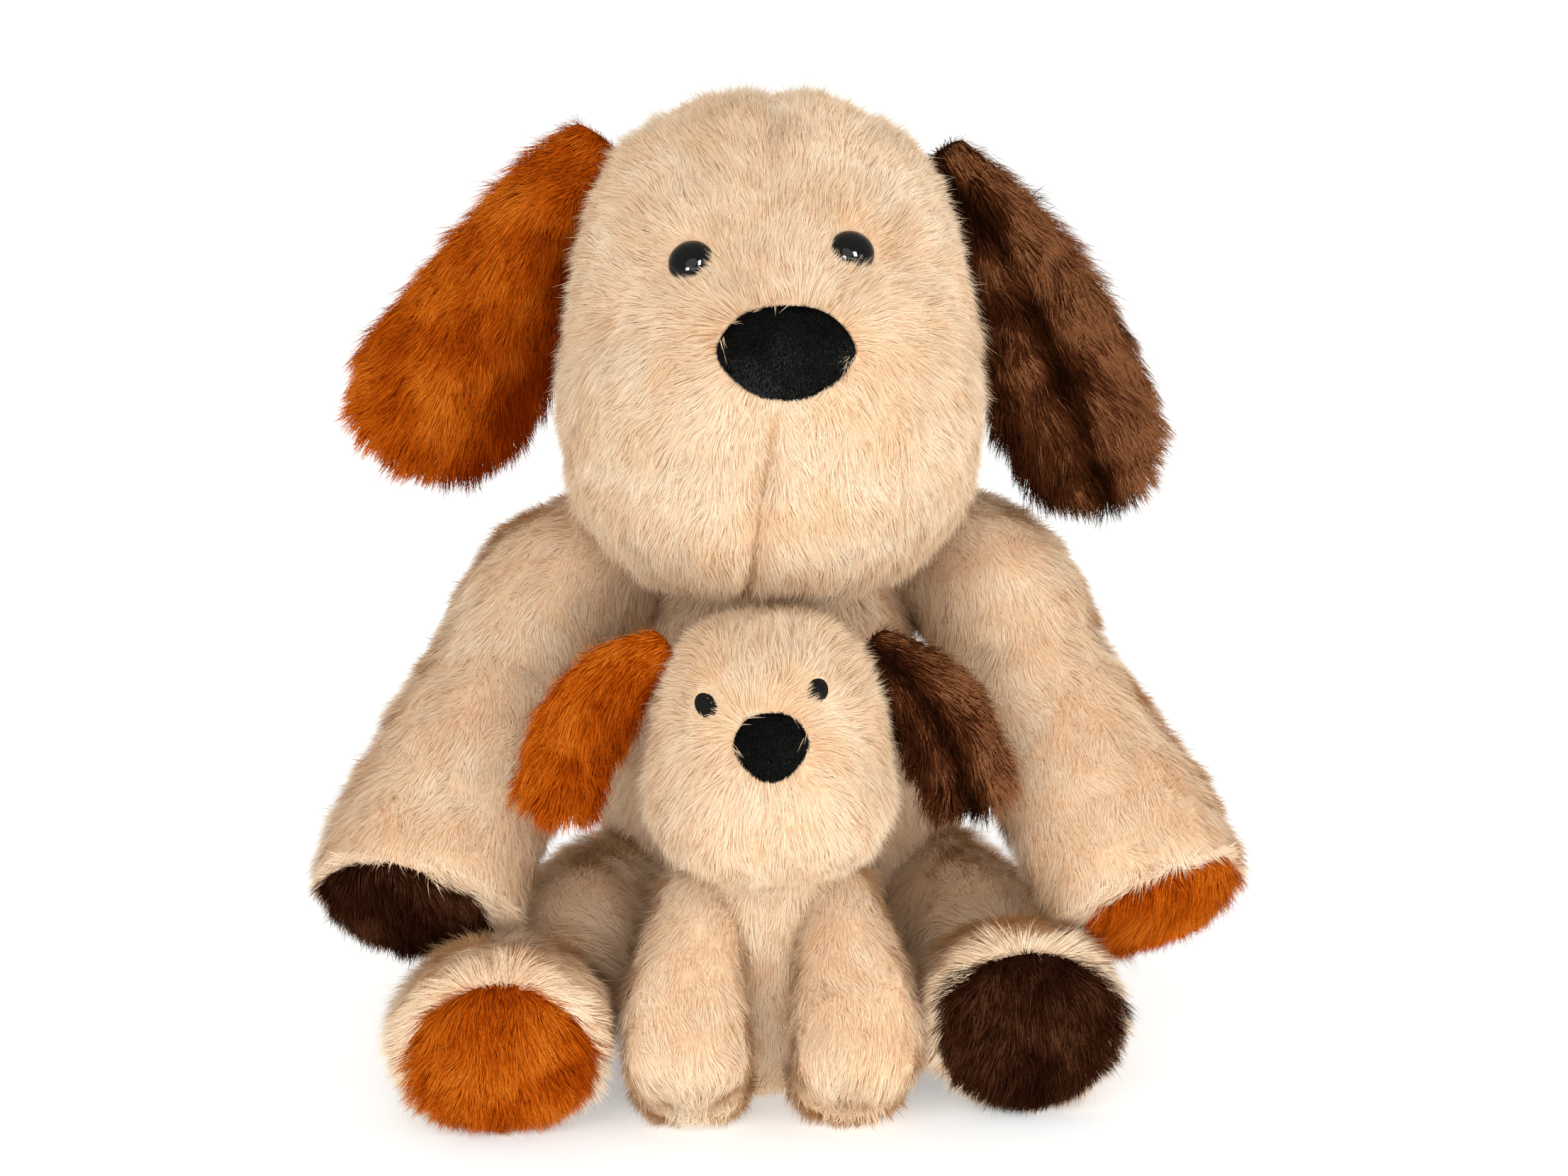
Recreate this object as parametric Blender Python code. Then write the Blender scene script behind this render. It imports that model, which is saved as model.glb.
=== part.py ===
"""A sitting plush dog with its puppy, as separate sewn covers, fillings, pads and trim.

Metres, +Z up, the dogs face -Y and sit on z = 0. Right and left are the dog's own: right is -X.
Each cover is a fabric shell, open where it is sewn on, with its filling as a solid inside it.
"""
import math

import bmesh
import bpy
from mathutils import Matrix, Vector

# Fabric and fits
FABRIC = 0.0020          # thickness of a cover
FIT = 0.0008             # play between a cover and its filling
SOCKET_PLAY = 0.0018     # room around a ball where a limb is sewn on
GROOVE_PLAY = 0.0012     # room around a limb that presses into the body
LIP = 0.0050             # seam allowance left around a sewn-on pad
SIDES = 14               # points around a large section
SMALL_SIDES = 10         # points around a small section
DOME_STEPS = 3           # rings in a rounded end
SIDE_NAMES = ("right", "left")

# Sections of the body and the heads: height, centre y, half width, half depth
BODY = [
    (0.000, 0.016, 0.046, 0.038),
    (0.006, 0.016, 0.055, 0.046),
    (0.030, 0.016, 0.060, 0.048),
    (0.060, 0.014, 0.059, 0.049),
    (0.090, 0.009, 0.055, 0.048),
    (0.120, 0.005, 0.049, 0.044),
    (0.150, 0.000, 0.042, 0.039),
]
HEAD_X = -0.0045
HEAD_BOTTOM = (0.167, -0.034)
HEAD = [
    (0.171, -0.040, 0.040, 0.045),
    (0.181, -0.037, 0.053, 0.060),
    (0.197, -0.035, 0.064, 0.071),
    (0.218, -0.036, 0.071, 0.075),
    (0.241, -0.037, 0.0705, 0.077),
    (0.261, -0.034, 0.068, 0.076),
    (0.283, -0.024, 0.064, 0.066),
    (0.302, -0.016, 0.0575, 0.055),
    (0.317, -0.012, 0.046, 0.043),
    (0.327, -0.010, 0.029, 0.028),
]
HEAD_TOP = (0.331, -0.010)
BAG = [(0.007, 0.014, 0.028, 0.024), (0.020, 0.018, 0.031, 0.027)]
BAG_TOP = (0.034, 0.018)
NECK = Vector((0.0, 0.0, 0.150))
NECK_RADIUS = 0.038
NECK_PLUG_RADIUS = 0.013
NECK_PLUG_ENDS = (0.160, 0.196)
NECK_PLUG_SWING = 0.011  # how far the plug's top moves in the head as it nods

PUPPY_X = -0.007
PUPPY_BODY = [
    (0.000, -0.084, 0.030, 0.025),
    (0.005, -0.084, 0.034, 0.030),
    (0.022, -0.084, 0.037, 0.032),
    (0.042, -0.086, 0.037, 0.031),
    (0.058, -0.090, 0.035, 0.029),
    (0.070, -0.095, 0.029, 0.025),
]
PUPPY_BAG = [(0.007, -0.077, 0.014, 0.009), (0.014, -0.077, 0.016, 0.010)]
PUPPY_BAG_TOP = (0.023, -0.077)
PUPPY_HEAD_BOTTOM = (0.082, -0.122)
PUPPY_HEAD = [
    (0.086, -0.122, 0.020, 0.020),
    (0.093, -0.122, 0.031, 0.031),
    (0.105, -0.122, 0.0375, 0.040),
    (0.119, -0.121, 0.0385, 0.042),
    (0.132, -0.118, 0.0370, 0.040),
    (0.144, -0.114, 0.0340, 0.036),
    (0.154, -0.111, 0.0290, 0.030),
    (0.162, -0.109, 0.0210, 0.021),
]
PUPPY_HEAD_TOP = (0.166, -0.109)
PUPPY_NECK = Vector((PUPPY_X, -0.098, 0.061))
PUPPY_NECK_RADIUS = 0.025

# Limbs: spine points with half width and half height; the first is the joint's ball.
# The puppy's are given for its left side, from its own middle plane.
RIGHT_ARM = [
    ((-0.061, 0.013, 0.161), 0.0245, 0.0245),
    ((-0.0815, -0.002, 0.1475), 0.0265, 0.0245),
    ((-0.098, -0.031, 0.124), 0.030, 0.027),
    ((-0.1115, -0.062, 0.1020), 0.033, 0.0275),
    ((-0.121, -0.083, 0.0850), 0.0345, 0.0275),
    ((-0.128, -0.0925, 0.0740), 0.0345, 0.0260),
]
LEFT_ARM = [
    ((0.061, 0.013, 0.161), 0.0245, 0.0245),
    ((0.0785, -0.002, 0.148), 0.0265, 0.0250),
    ((0.0935, -0.031, 0.123), 0.029, 0.027),
    ((0.1060, -0.062, 0.0985), 0.032, 0.0275),
    ((0.1165, -0.082, 0.0820), 0.0340, 0.0275),
    ((0.1240, -0.0915, 0.0712), 0.0340, 0.0260),
]
RIGHT_LEG = [
    ((-0.058, -0.010, 0.034), 0.0245, 0.0245),
    ((-0.077, -0.050, 0.030), 0.0245, 0.0235),
    ((-0.0890, -0.083, 0.0255), 0.0290, 0.0205),
    ((-0.0960, -0.114, 0.0290), 0.0340, 0.0255),
    ((-0.0980, -0.133, 0.0315), 0.0360, 0.0285),
    ((-0.0980, -0.148, 0.0315), 0.0350, 0.0285),
]
LEFT_LEG = [
    ((0.057, -0.010, 0.034), 0.0245, 0.0245),
    ((0.069, -0.042, 0.030), 0.0240, 0.0240),
    ((0.0750, -0.070, 0.0245), 0.0265, 0.0190),
    ((0.0775, -0.098, 0.0290), 0.0310, 0.0250),
    ((0.0785, -0.116, 0.0325), 0.0330, 0.0295),
    ((0.0785, -0.131, 0.0330), 0.0325, 0.0290),
]
PUPPY_FRONT_LEG = [
    ((0.023, -0.106, 0.068), 0.0125, 0.0125),
    ((0.026, -0.123, 0.052), 0.0170, 0.0150),
    ((0.0285, -0.140, 0.036), 0.0210, 0.0160),
    ((0.0285, -0.150, 0.028), 0.0205, 0.0145),
]
PUPPY_HIND_LEG = [
    ((0.023, -0.092, 0.0150), 0.0105, 0.0100),
    ((0.025, -0.110, 0.0110), 0.016, 0.0095),
    ((0.0275, -0.129, 0.0090), 0.021, 0.0080),
    ((0.0275, -0.141, 0.0085), 0.020, 0.0075),
]
TAIL = [
    ((0.0, 0.070, 0.026), 0.0120, 0.0120),
    ((0.004, 0.094, 0.030), 0.0125, 0.0125),
    ((0.010, 0.114, 0.040), 0.0110, 0.0110),
]
PUPPY_TAIL = [
    ((PUPPY_X, -0.0540, 0.018), 0.0060, 0.0060),
    ((PUPPY_X + 0.001, -0.0465, 0.022), 0.0050, 0.0050),
]
PAD_DOME = 0.006
PUPPY_TOE = 0.010
PAW_PAD_SHARE = 0.85
SOLE_PAD_SHARE = 0.88

# Ears: spine from the seam to near the tip, with half widths; the puppy's from its middle plane
RIGHT_EAR = [
    ((-0.0695, -0.006, 0.308), 0.0115),
    ((-0.0840, -0.010, 0.292), 0.0170),
    ((-0.0985, -0.015, 0.263), 0.0250),
    ((-0.1135, -0.019, 0.236), 0.0315),
    ((-0.1230, -0.021, 0.2195), 0.0315),
]
LEFT_EAR = [
    ((0.0620, -0.006, 0.307), 0.0115),
    ((0.0775, -0.010, 0.2895), 0.0165),
    ((0.0950, -0.015, 0.2545), 0.0240),
    ((0.1055, -0.018, 0.2215), 0.0270),
    ((0.1105, -0.020, 0.2035), 0.0250),
]
PUPPY_RIGHT_EAR = [
    ((-0.035, -0.110, 0.157), 0.0075),
    ((-0.048, -0.112, 0.149), 0.0120),
    ((-0.062, -0.114, 0.131), 0.0155),
    ((-0.071, -0.116, 0.108), 0.0145),
]
PUPPY_LEFT_EAR = [
    ((0.0365, -0.110, 0.157), 0.0075),
    ((0.046, -0.112, 0.148), 0.0125),
    ((0.060, -0.114, 0.130), 0.0160),
    ((0.068, -0.116, 0.110), 0.0150),
]
EAR_PANEL = 0.0026       # thickness of one ear panel
PUPPY_EAR_PANEL = 0.0020
EAR_TIP = 0.010          # length of the rounded tip
PUPPY_EAR_TIP = 0.006

# Eyes, noses and labels
EYES = {"right": (-0.0275, 0.2835), "left": (0.0265, 0.2865)}  # aside and height
EYE_RADIUS = 0.0075
EYE_DOME = 0.0055
SHANK_RADIUS = 0.0022
SHANK_LENGTH = 0.014
WASHER_RADIUS = 0.0070
WASHER_THICKNESS = 0.0015
NOSE_ASIDE = 0.0035       # from the middle of the head, like the eyes
NOSE_HEIGHT = 0.2575
NOSE_HALF_WIDTH = 0.0235
NOSE_HALF_HEIGHT = 0.0150
NOSE_DOME = 0.0050
PUPPY_NOSE_HEIGHT = 0.1345
PUPPY_NOSE_HALF_WIDTH = 0.0122
PUPPY_NOSE_HALF_HEIGHT = 0.0090
PUPPY_NOSE_DOME = 0.0035
PUPPY_EYES = {"right": (-0.0205, 0.1445), "left": (0.0150, 0.1490)}
PUPPY_EYE_RADIUS = 0.0038
PUPPY_EYE_DOME = 0.0012
PATCH_RISE = 0.0012      # a sewn patch's edge above the cover
PATCH_RINGS = 2
PATCH_SIDES = 16
LABEL_WIDTH = 0.018
LABEL_LENGTH = 0.030
LABEL_THICKNESS = 0.0008

# Name: base colour, roughness, metallic
MATERIALS = {
    "cream_fur": ((0.80, 0.60, 0.40, 1.0), 0.90, 0.0),
    "orange_fur": ((0.42, 0.10, 0.015, 1.0), 0.90, 0.0),
    "brown_fur": ((0.10, 0.03, 0.012, 1.0), 0.90, 0.0),
    "black_velour": ((0.012, 0.011, 0.010, 1.0), 0.85, 0.0),
    "black_thread": ((0.012, 0.011, 0.010, 1.0), 0.60, 0.0),
    "black_plastic": ((0.008, 0.008, 0.008, 1.0), 0.08, 0.0),
    "white_plastic": ((0.80, 0.80, 0.78, 1.0), 0.45, 0.0),
    "stuffing": ((0.86, 0.86, 0.84, 1.0), 0.95, 0.0),
    "bag_cloth": ((0.78, 0.77, 0.72, 1.0), 0.85, 0.0),
    "label_satin": ((0.85, 0.84, 0.80, 1.0), 0.45, 0.0),
}


def clear_scene():
    for item in list(bpy.data.objects):
        bpy.data.objects.remove(item, do_unlink=True)


def material(name):
    found = bpy.data.materials.get(name)
    if found:
        return found
    colour, roughness, metallic = MATERIALS[name]
    made = bpy.data.materials.new(name)
    made.use_nodes = True
    shader = made.node_tree.nodes["Principled BSDF"]
    shader.inputs["Base Color"].default_value = colour
    shader.inputs["Roughness"].default_value = roughness
    shader.inputs["Metallic"].default_value = metallic
    return made


def add_object(name, mesh_edit, material_name=None, origin=None):
    """An object whose mesh is the given bmesh, with its origin moved onto its joint if it has one."""
    bmesh.ops.recalc_face_normals(mesh_edit, faces=mesh_edit.faces)
    if origin:
        bmesh.ops.translate(mesh_edit, verts=mesh_edit.verts, vec=-Vector(origin))
    mesh = bpy.data.meshes.new(name)
    mesh_edit.to_mesh(mesh)
    mesh_edit.free()
    made = bpy.data.objects.new(name, mesh)
    bpy.context.collection.objects.link(made)
    made.location = origin or (0, 0, 0)
    if material_name:
        mesh.materials.append(material(material_name))
        mesh.shade_smooth()
        mesh.set_sharp_from_angle(angle=math.radians(50))
    else:
        made.hide_render = True
        made.display_type = "WIRE"
    return made


def cut(target, cutter):
    change = target.modifiers.new("cut_" + cutter.name, "BOOLEAN")
    change.operation = "DIFFERENCE"
    change.solver = "EXACT"
    change.object = cutter
    return target


def spine_frame(tangent, across):
    """Unit vectors across and up for a section that faces along the tangent."""
    width_axis = (across - across.dot(tangent) * tangent).normalized()
    return width_axis, tangent.cross(width_axis)


def tangents(points):
    made = []
    for index in range(len(points)):
        before = points[max(index - 1, 0)]
        after = points[min(index + 1, len(points) - 1)]
        made.append((after - before).normalized())
    return made


def ring(edit, centre, width_axis, height_axis, half_width, half_height, sides):
    made = []
    for index in range(sides):
        angle = 2 * math.pi * index / sides
        offset = width_axis * (half_width * math.cos(angle)) + height_axis * (half_height * math.sin(angle))
        made.append(edit.verts.new(centre + offset))
    return made


def close_end(edit, last_ring, pole):
    """A fan from a ring to a pole, or a flat face where there is no pole."""
    if pole is None:
        edit.faces.new(last_ring)
        return
    tip = edit.verts.new(pole)
    for index, corner in enumerate(last_ring):
        edit.faces.new((corner, last_ring[(index + 1) % len(last_ring)], tip))


def bridge(edit, rings):
    for low, high in zip(rings, rings[1:]):
        for index in range(len(low)):
            after = (index + 1) % len(low)
            edit.faces.new((low[index], low[after], high[after], high[index]))


def spine_loft(spine, across, start_depth, end_depth, sides, inset=0.0):
    """A closed bmesh along a spine, with a rounded end where a depth is given and a flat one where it is 0."""
    points = [Vector(place) for place, _, _ in spine]
    directions = tangents(points)
    if inset:
        points[0] = points[0] + directions[0] * (0.0 if start_depth else inset)
        points[-1] = points[-1] - directions[-1] * (0.0 if end_depth else inset)
    edit = bmesh.new()
    sections = []
    for (_, half_width, half_height), point, direction in zip(spine, points, directions):
        width_axis, height_axis = spine_frame(direction, across)
        sections.append((point, width_axis, height_axis, half_width - inset, half_height - inset))
    rings = []
    quarter = math.pi / 2
    if start_depth:
        point, width_axis, height_axis, half_width, half_height = sections[0]
        for step in range(1, DOME_STEPS):
            angle = quarter * step / DOME_STEPS
            back = directions[0] * ((start_depth - inset) * math.cos(angle))
            size = math.sin(angle)
            rings.append(
                ring(edit, point - back, width_axis, height_axis, half_width * size, half_height * size, sides)
            )
    for section in sections:
        rings.append(ring(edit, *section, sides))
    if end_depth:
        point, width_axis, height_axis, half_width, half_height = sections[-1]
        for step in range(DOME_STEPS - 1, 0, -1):
            angle = quarter * step / DOME_STEPS
            ahead = directions[-1] * ((end_depth - inset) * math.cos(angle))
            size = math.sin(angle)
            rings.append(
                ring(edit, point + ahead, width_axis, height_axis, half_width * size, half_height * size, sides)
            )
    bridge(edit, rings)
    start_pole = points[0] - directions[0] * (start_depth - inset) if start_depth else None
    end_pole = points[-1] + directions[-1] * (end_depth - inset) if end_depth else None
    close_end(edit, rings[0], start_pole)
    close_end(edit, rings[-1], end_pole)
    return edit


def upright_loft(x, sections, bottom, top, sides, inset=0.0):
    """A closed bmesh of level sections. A bottom or top is the height and y of a pole, or None for flat."""
    edit = bmesh.new()
    rings = []
    for index, (height, y, half_width, half_depth) in enumerate(sections):
        level = height + inset if bottom is None and index == 0 else height
        centre = Vector((x, y, level))
        axes = Vector((1, 0, 0)), Vector((0, 1, 0))
        rings.append(ring(edit, centre, *axes, half_width - inset, half_depth - inset, sides))
    bridge(edit, rings)
    low = Vector((x, bottom[1], bottom[0] + inset)) if bottom else None
    high = Vector((x, top[1], top[0] - inset)) if top else None
    close_end(edit, rings[0], low)
    close_end(edit, rings[-1], high)
    return edit


def neck_dome(neck, radius):
    """Level sections of the ball on top of a body, above its highest given section, and the pole."""
    sections = []
    for degrees in (28, 46, 64):
        angle = math.radians(degrees)
        width = radius * math.cos(angle)
        sections.append((neck.z + radius * math.sin(angle), neck.y, width, width))
    return sections, (neck.z + radius, neck.y)


def ball(name, centre, radius, sides=SMALL_SIDES):
    """A spherical cutter, turned so that it clears the ball of the limb that sits in it."""
    edit = bmesh.new()
    bmesh.ops.create_uvsphere(
        edit, u_segments=sides, v_segments=sides // 2, radius=radius / math.cos(math.pi / sides)
    )
    bmesh.ops.translate(edit, verts=edit.verts, vec=centre)
    return add_object(name, edit)


def rod(name, start, end, radius, sides=SMALL_SIDES, material_name=None, origin=None, far_radius=None):
    """A round bar or a cone between two points."""
    start, end = Vector(start), Vector(end)
    edit = bmesh.new()
    turn = (end - start).to_track_quat("Z", "Y").to_matrix().to_4x4()
    place = Matrix.Translation((start + end) / 2) @ turn
    bmesh.ops.create_cone(
        edit,
        cap_ends=True,
        segments=sides,
        radius1=radius,
        radius2=radius if far_radius is None else far_radius,
        depth=(end - start).length,
        matrix=place,
    )
    return add_object(name, edit, material_name, origin)


def socket_cutters(name, balls, extra, grooves=()):
    """Room for the limbs sewn on, grown by the wall that stays around it: balls, and grooves along limbs."""
    made = []
    for index, (centre, radius) in enumerate(balls):
        made.append(ball(f"cut_{name}_{index}", centre, radius + SOCKET_PLAY + extra))
    for index, spine in enumerate(grooves):
        edit = spine_loft(spine, Vector((1, 0, 0)), spine[0][1], spine[-1][2], SMALL_SIDES,
                          -(GROOVE_PLAY + extra))
        made.append(add_object(f"cut_{name}_groove_{index}", edit))
    return made


def build_body(name, fur, x, sections, neck, neck_radius, sockets, grooves, hole_radius, bag_shape):
    """Cover, filling and pellet bag of a body, with sockets where the head, arms and legs are sewn on."""
    dome, pole = neck_dome(neck, neck_radius)
    levels = sections + dome
    cover = add_object(name + "body_cover", upright_loft(x, levels, None, pole, SIDES), fur)
    cavity = add_object(name + "body_cavity", upright_loft(x, levels, None, pole, SIDES, FABRIC))
    filling = add_object(
        name + "body_stuffing", upright_loft(x, levels, None, pole, SIDES, FABRIC + FIT), "stuffing"
    )
    for cutter in socket_cutters(name + "socket", sockets, 0.0, grooves):
        cut(cover, cutter)
    for cutter in socket_cutters(name + "socket_wall", sockets, FABRIC, grooves):
        cut(cavity, cutter)
    for cutter in socket_cutters(name + "socket_room", sockets, FABRIC + FIT, grooves):
        cut(filling, cutter)
    cut(cover, cavity)
    hole = rod(name + "cut_neck_hole", neck + Vector((0, 0, neck_radius / 2)),
               neck + Vector((0, 0, neck_radius * 2)), hole_radius)
    cut(cover, hole)
    bag, bag_top = bag_shape
    under = (0.0, bag[0][1])
    above = (bag_top[0] + FIT, bag_top[1])
    room = upright_loft(x, grown(bag, FIT), under, above, SMALL_SIDES)
    cut(filling, add_object(name + "cut_bag_room", room))
    add_object(name + "pellet_bag", upright_loft(x, bag, None, bag_top, SMALL_SIDES), "bag_cloth")
    return cover, filling


def grown(sections, amount):
    made = []
    for height, y, half_width, half_depth in sections:
        made.append((height, y, half_width + amount, half_depth + amount))
    return made


def build_head(name, fur, x, sections, bottom, top, neck, neck_radius, hole_radius, origin):
    """Cover and filling of a head, hollowed under the chin where it sits on the body's ball."""
    cover = add_object(name + "head_cover", upright_loft(x, sections, bottom, top, SIDES), fur, origin)
    cavity = add_object(name + "head_cavity", upright_loft(x, sections, bottom, top, SIDES, FABRIC))
    filling = add_object(
        name + "head_stuffing",
        upright_loft(x, sections, bottom, top, SIDES, FABRIC + FIT),
        "stuffing",
        origin,
    )
    room = [(neck, neck_radius)]
    cut(cover, socket_cutters(name + "chin", room, 0.0)[0])
    cut(cavity, socket_cutters(name + "chin_wall", room, FABRIC)[0])
    cut(filling, socket_cutters(name + "chin_room", room, FABRIC + FIT)[0])
    cut(cover, cavity)
    rise = Vector((0, 0, neck_radius))
    cut(cover, rod(name + "cut_chin_hole", neck, neck + rise * 1.25, hole_radius))
    return cover, filling


def build_neck_plug(origin):
    """The plug of filling that joins body and head through the neck seam, and the room it swings in."""
    low, high = NECK_PLUG_ENDS
    start = Vector((NECK.x, NECK.y, low))
    end = Vector((NECK.x, NECK.y, high))
    rod("neck_stuffing", start, end, NECK_PLUG_RADIUS, material_name="stuffing", origin=origin)
    above = Vector((0, 0, 0.002))
    body_room = rod("cut_plug_body", start - above, end, NECK_PLUG_RADIUS + 0.0015, SIDES)
    swing_radius = NECK_PLUG_RADIUS + NECK_PLUG_SWING + 0.002
    head_room = rod("cut_plug_head", NECK, end + above * 2, swing_radius, SIDES)
    return body_room, head_room


def build_limb(name, fur, spine, across, origin, sides, pad=None, end_depth=0.0):
    """Cover and filling of a limb: a ball at the joint, and a sewn pad or a rounded end at the other."""
    start_depth = spine[0][1]
    shape = (spine, across, start_depth, end_depth, sides)
    cover = add_object(name + "_cover", spine_loft(*shape), fur, origin)
    cavity = add_object(name + "_cavity", spine_loft(*shape, inset=FABRIC))
    add_object(name + "_stuffing", spine_loft(*shape, inset=FABRIC + FIT), "stuffing", origin)
    cut(cover, cavity)
    first, second = Vector(spine[0][0]), Vector(spine[1][0])
    direction = (second - first).normalized()
    hole_start = first - direction * (start_depth + 0.002)
    hole_end = first - direction * (start_depth * 0.55)
    cut(cover, rod(f"cut_{name}_seam", hole_start, hole_end, start_depth * 0.42))
    if pad:
        build_pad(name, cover, spine, across, origin, sides, *pad)


def build_pad(name, cover, spine, across, origin, sides, pad_name, pad_material, share):
    """A domed pad that closes the limb's open end, over that share of its width."""
    last, before = Vector(spine[-1][0]), Vector(spine[-2][0])
    direction = (last - before).normalized()
    half_width, half_height = spine[-1][1], spine[-1][2]
    start = last - direction * (FABRIC + FIT)
    mouth = [(start, half_width - LIP, half_height - LIP), (last + direction * 0.002, half_width - LIP, half_height - LIP)]
    cut(cover, add_object(f"cut_{name}_mouth", spine_loft(mouth, across, 0.0, 0.0, sides)))
    base = last + direction * FIT
    pad_width, pad_height = half_width * share, half_height * share
    disc = [(base, pad_width, pad_height), (base + direction * FABRIC, pad_width, pad_height)]
    add_object(pad_name, spine_loft(disc, across, 0.0, PAD_DOME, sides), pad_material, origin)


def placed(spine, x, side=1):
    """A spine given about the middle plane, moved to a plane at x, and to its other side if side is -1."""
    made = []
    for entry in spine:
        place = entry[0]
        made.append(((x + side * place[0], place[1], place[2]),) + tuple(entry[1:]))
    return made


def build_ear(name, fur, spine, panel, tip, origin):
    """Two panels sewn face to face: a front one and a back one."""
    points = [Vector(place) for place, _ in spine]
    along = (points[-1] - points[0]).normalized()
    facing = (Vector((0, -1, 0)) - Vector((0, -1, 0)).dot(along) * along).normalized()
    across = along.cross(facing).normalized()
    for layer, shift in (("front", 1), ("back", -1)):
        offset = facing * (shift * (panel + FIT) / 2)
        layered = [(place + offset, half_width, panel / 2) for place, (_, half_width) in zip(points, spine)]
        edit = flat_loft(layered, across, tip)
        add_object(f"{name}_{layer}", edit, fur, origin)


def flat_loft(spine, across, tip):
    """A thin closed panel along a spine, with a rounded tip."""
    points = [point for point, _, _ in spine]
    directions = tangents(points)
    edit = bmesh.new()
    rings = []
    for (point, half_width, half_thickness), direction in zip(spine, directions):
        width_axis, height_axis = spine_frame(direction, across)
        rings.append(slab_ring(edit, point, width_axis, height_axis, half_width, half_thickness))
    point, half_width, half_thickness = spine[-1]
    width_axis, height_axis = spine_frame(directions[-1], across)
    for share, size in ((0.6, 0.75), (1.0, 0.4)):
        ahead = point + directions[-1] * (tip * share)
        rings.append(slab_ring(edit, ahead, width_axis, height_axis, half_width * size, half_thickness))
    bridge(edit, rings)
    close_end(edit, rings[0], None)
    close_end(edit, rings[-1], None)
    return edit


def slab_ring(edit, centre, width_axis, height_axis, half_width, half_thickness):
    """A six-cornered flat section."""
    edge = half_thickness * 0.8
    corners = [
        (half_width, 0),
        (half_width - edge, half_thickness),
        (edge - half_width, half_thickness),
        (-half_width, 0),
        (edge - half_width, -half_thickness),
        (half_width - edge, -half_thickness),
    ]
    return [edit.verts.new(centre + width_axis * u + height_axis * v) for u, v in corners]


def front_of(x, sections, aside, height):
    """The point on the front of a head at a height, that far aside of its middle plane."""
    for low, high in zip(sections, sections[1:]):
        if low[0] <= height <= high[0]:
            share = (height - low[0]) / (high[0] - low[0])
            _, y, half_width, half_depth = [a + (b - a) * share for a, b in zip(low, high)]
            return Vector((x + aside, y - half_depth * math.sqrt(1 - (aside / half_width) ** 2), height))
    raise ValueError("that height is not on the head")


def front_normal(x, sections, aside, height):
    step = 0.003
    here = front_of(x, sections, aside, height)
    sideways = front_of(x, sections, aside + step, height) - here
    upward = front_of(x, sections, aside, height + step) - here
    return sideways.cross(upward).normalized()


def patch(name, x, sections, aside, height, half_width, half_height, dome, material_name, origin, point_down=0.0):
    """A padded patch sewn on a head, following its curve. point_down narrows its lower half."""
    edit = bmesh.new()
    normal = front_normal(x, sections, aside, height)
    layers = []
    for top in (False, True):
        rings = []
        for step in range(PATCH_RINGS, 0, -1):
            share = step / PATCH_RINGS
            row = []
            for index in range(PATCH_SIDES):
                angle = 2 * math.pi * index / PATCH_SIDES
                v = math.sin(angle) * share
                u = math.cos(angle) * share * (1 + point_down * min(v, 0.0))
                place = front_of(x, sections, aside + u * half_width, height + v * half_height)
                rise = PATCH_RISE + (dome * math.sqrt(1.03 - share ** 2) if top else 0.0)
                row.append(edit.verts.new(place + normal * rise))
            rings.append(row)
        centre = front_of(x, sections, aside, height) + normal * (PATCH_RISE + (dome if top else 0.0))
        bridge(edit, rings)
        close_end(edit, rings[-1], centre)
        layers.append(rings[0])
    bridge(edit, layers)
    add_object(name, edit, material_name, origin)


def build_safety_eye(name, aside, height, cover, filling, origin):
    """A domed plastic eye whose shank passes through the cover into a lock washer."""
    surface = front_of(HEAD_X, HEAD, aside, height)
    normal = front_normal(HEAD_X, HEAD, aside, height)
    base = surface + normal * FIT
    edit = bmesh.new()
    width_axis, height_axis = spine_frame(normal, Vector((1, 0, 0)))
    frame = width_axis, height_axis
    shank_end = base - normal * SHANK_LENGTH
    rings = [ring(edit, shank_end, *frame, SHANK_RADIUS, SHANK_RADIUS, SMALL_SIDES)]
    rings.append(ring(edit, base, *frame, SHANK_RADIUS, SHANK_RADIUS, SMALL_SIDES))
    for degrees in (0, 25, 50, 72):
        angle = math.radians(degrees)
        size = EYE_RADIUS * math.cos(angle)
        rise = EYE_DOME * math.sin(angle) + (0.0 if degrees == 0 else 0.0008)
        rings.append(ring(edit, base + normal * rise, *frame, size, size, SMALL_SIDES))
    bridge(edit, rings)
    close_end(edit, rings[0], None)
    close_end(edit, rings[-1], base + normal * (EYE_DOME + 0.0008))
    add_object(name, edit, "black_plastic", origin)
    inside = base - normal * (FABRIC + 0.0035)
    washer = rod(name + "_washer", inside, inside - normal * WASHER_THICKNESS, WASHER_RADIUS,
                 SIDES, "white_plastic")
    bore = rod(f"cut_{name}_bore", base + normal * 0.002, shank_end, SHANK_RADIUS + 0.0005)
    cut(washer, bore)
    cut(cover, bore)
    room = rod(f"cut_{name}_room", surface + normal * 0.004, inside - normal * (WASHER_THICKNESS + 0.0008),
               WASHER_RADIUS + 0.0008, SIDES)
    shank_room = rod(f"cut_{name}_shank_room", base, shank_end - normal * 0.0008, SHANK_RADIUS + 0.0008)
    cut(filling, room)
    cut(filling, shank_room)


def build_label(name, corner, material_name):
    """A folded label that hangs from the back seam."""
    edit = bmesh.new()
    bmesh.ops.create_cube(edit, size=1.0)
    bmesh.ops.scale(edit, verts=edit.verts, vec=(LABEL_THICKNESS, LABEL_LENGTH, LABEL_WIDTH))
    bmesh.ops.translate(edit, verts=edit.verts, vec=Vector(corner) + Vector((0, LABEL_LENGTH / 2, 0)))
    add_object(name, edit, material_name)


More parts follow.
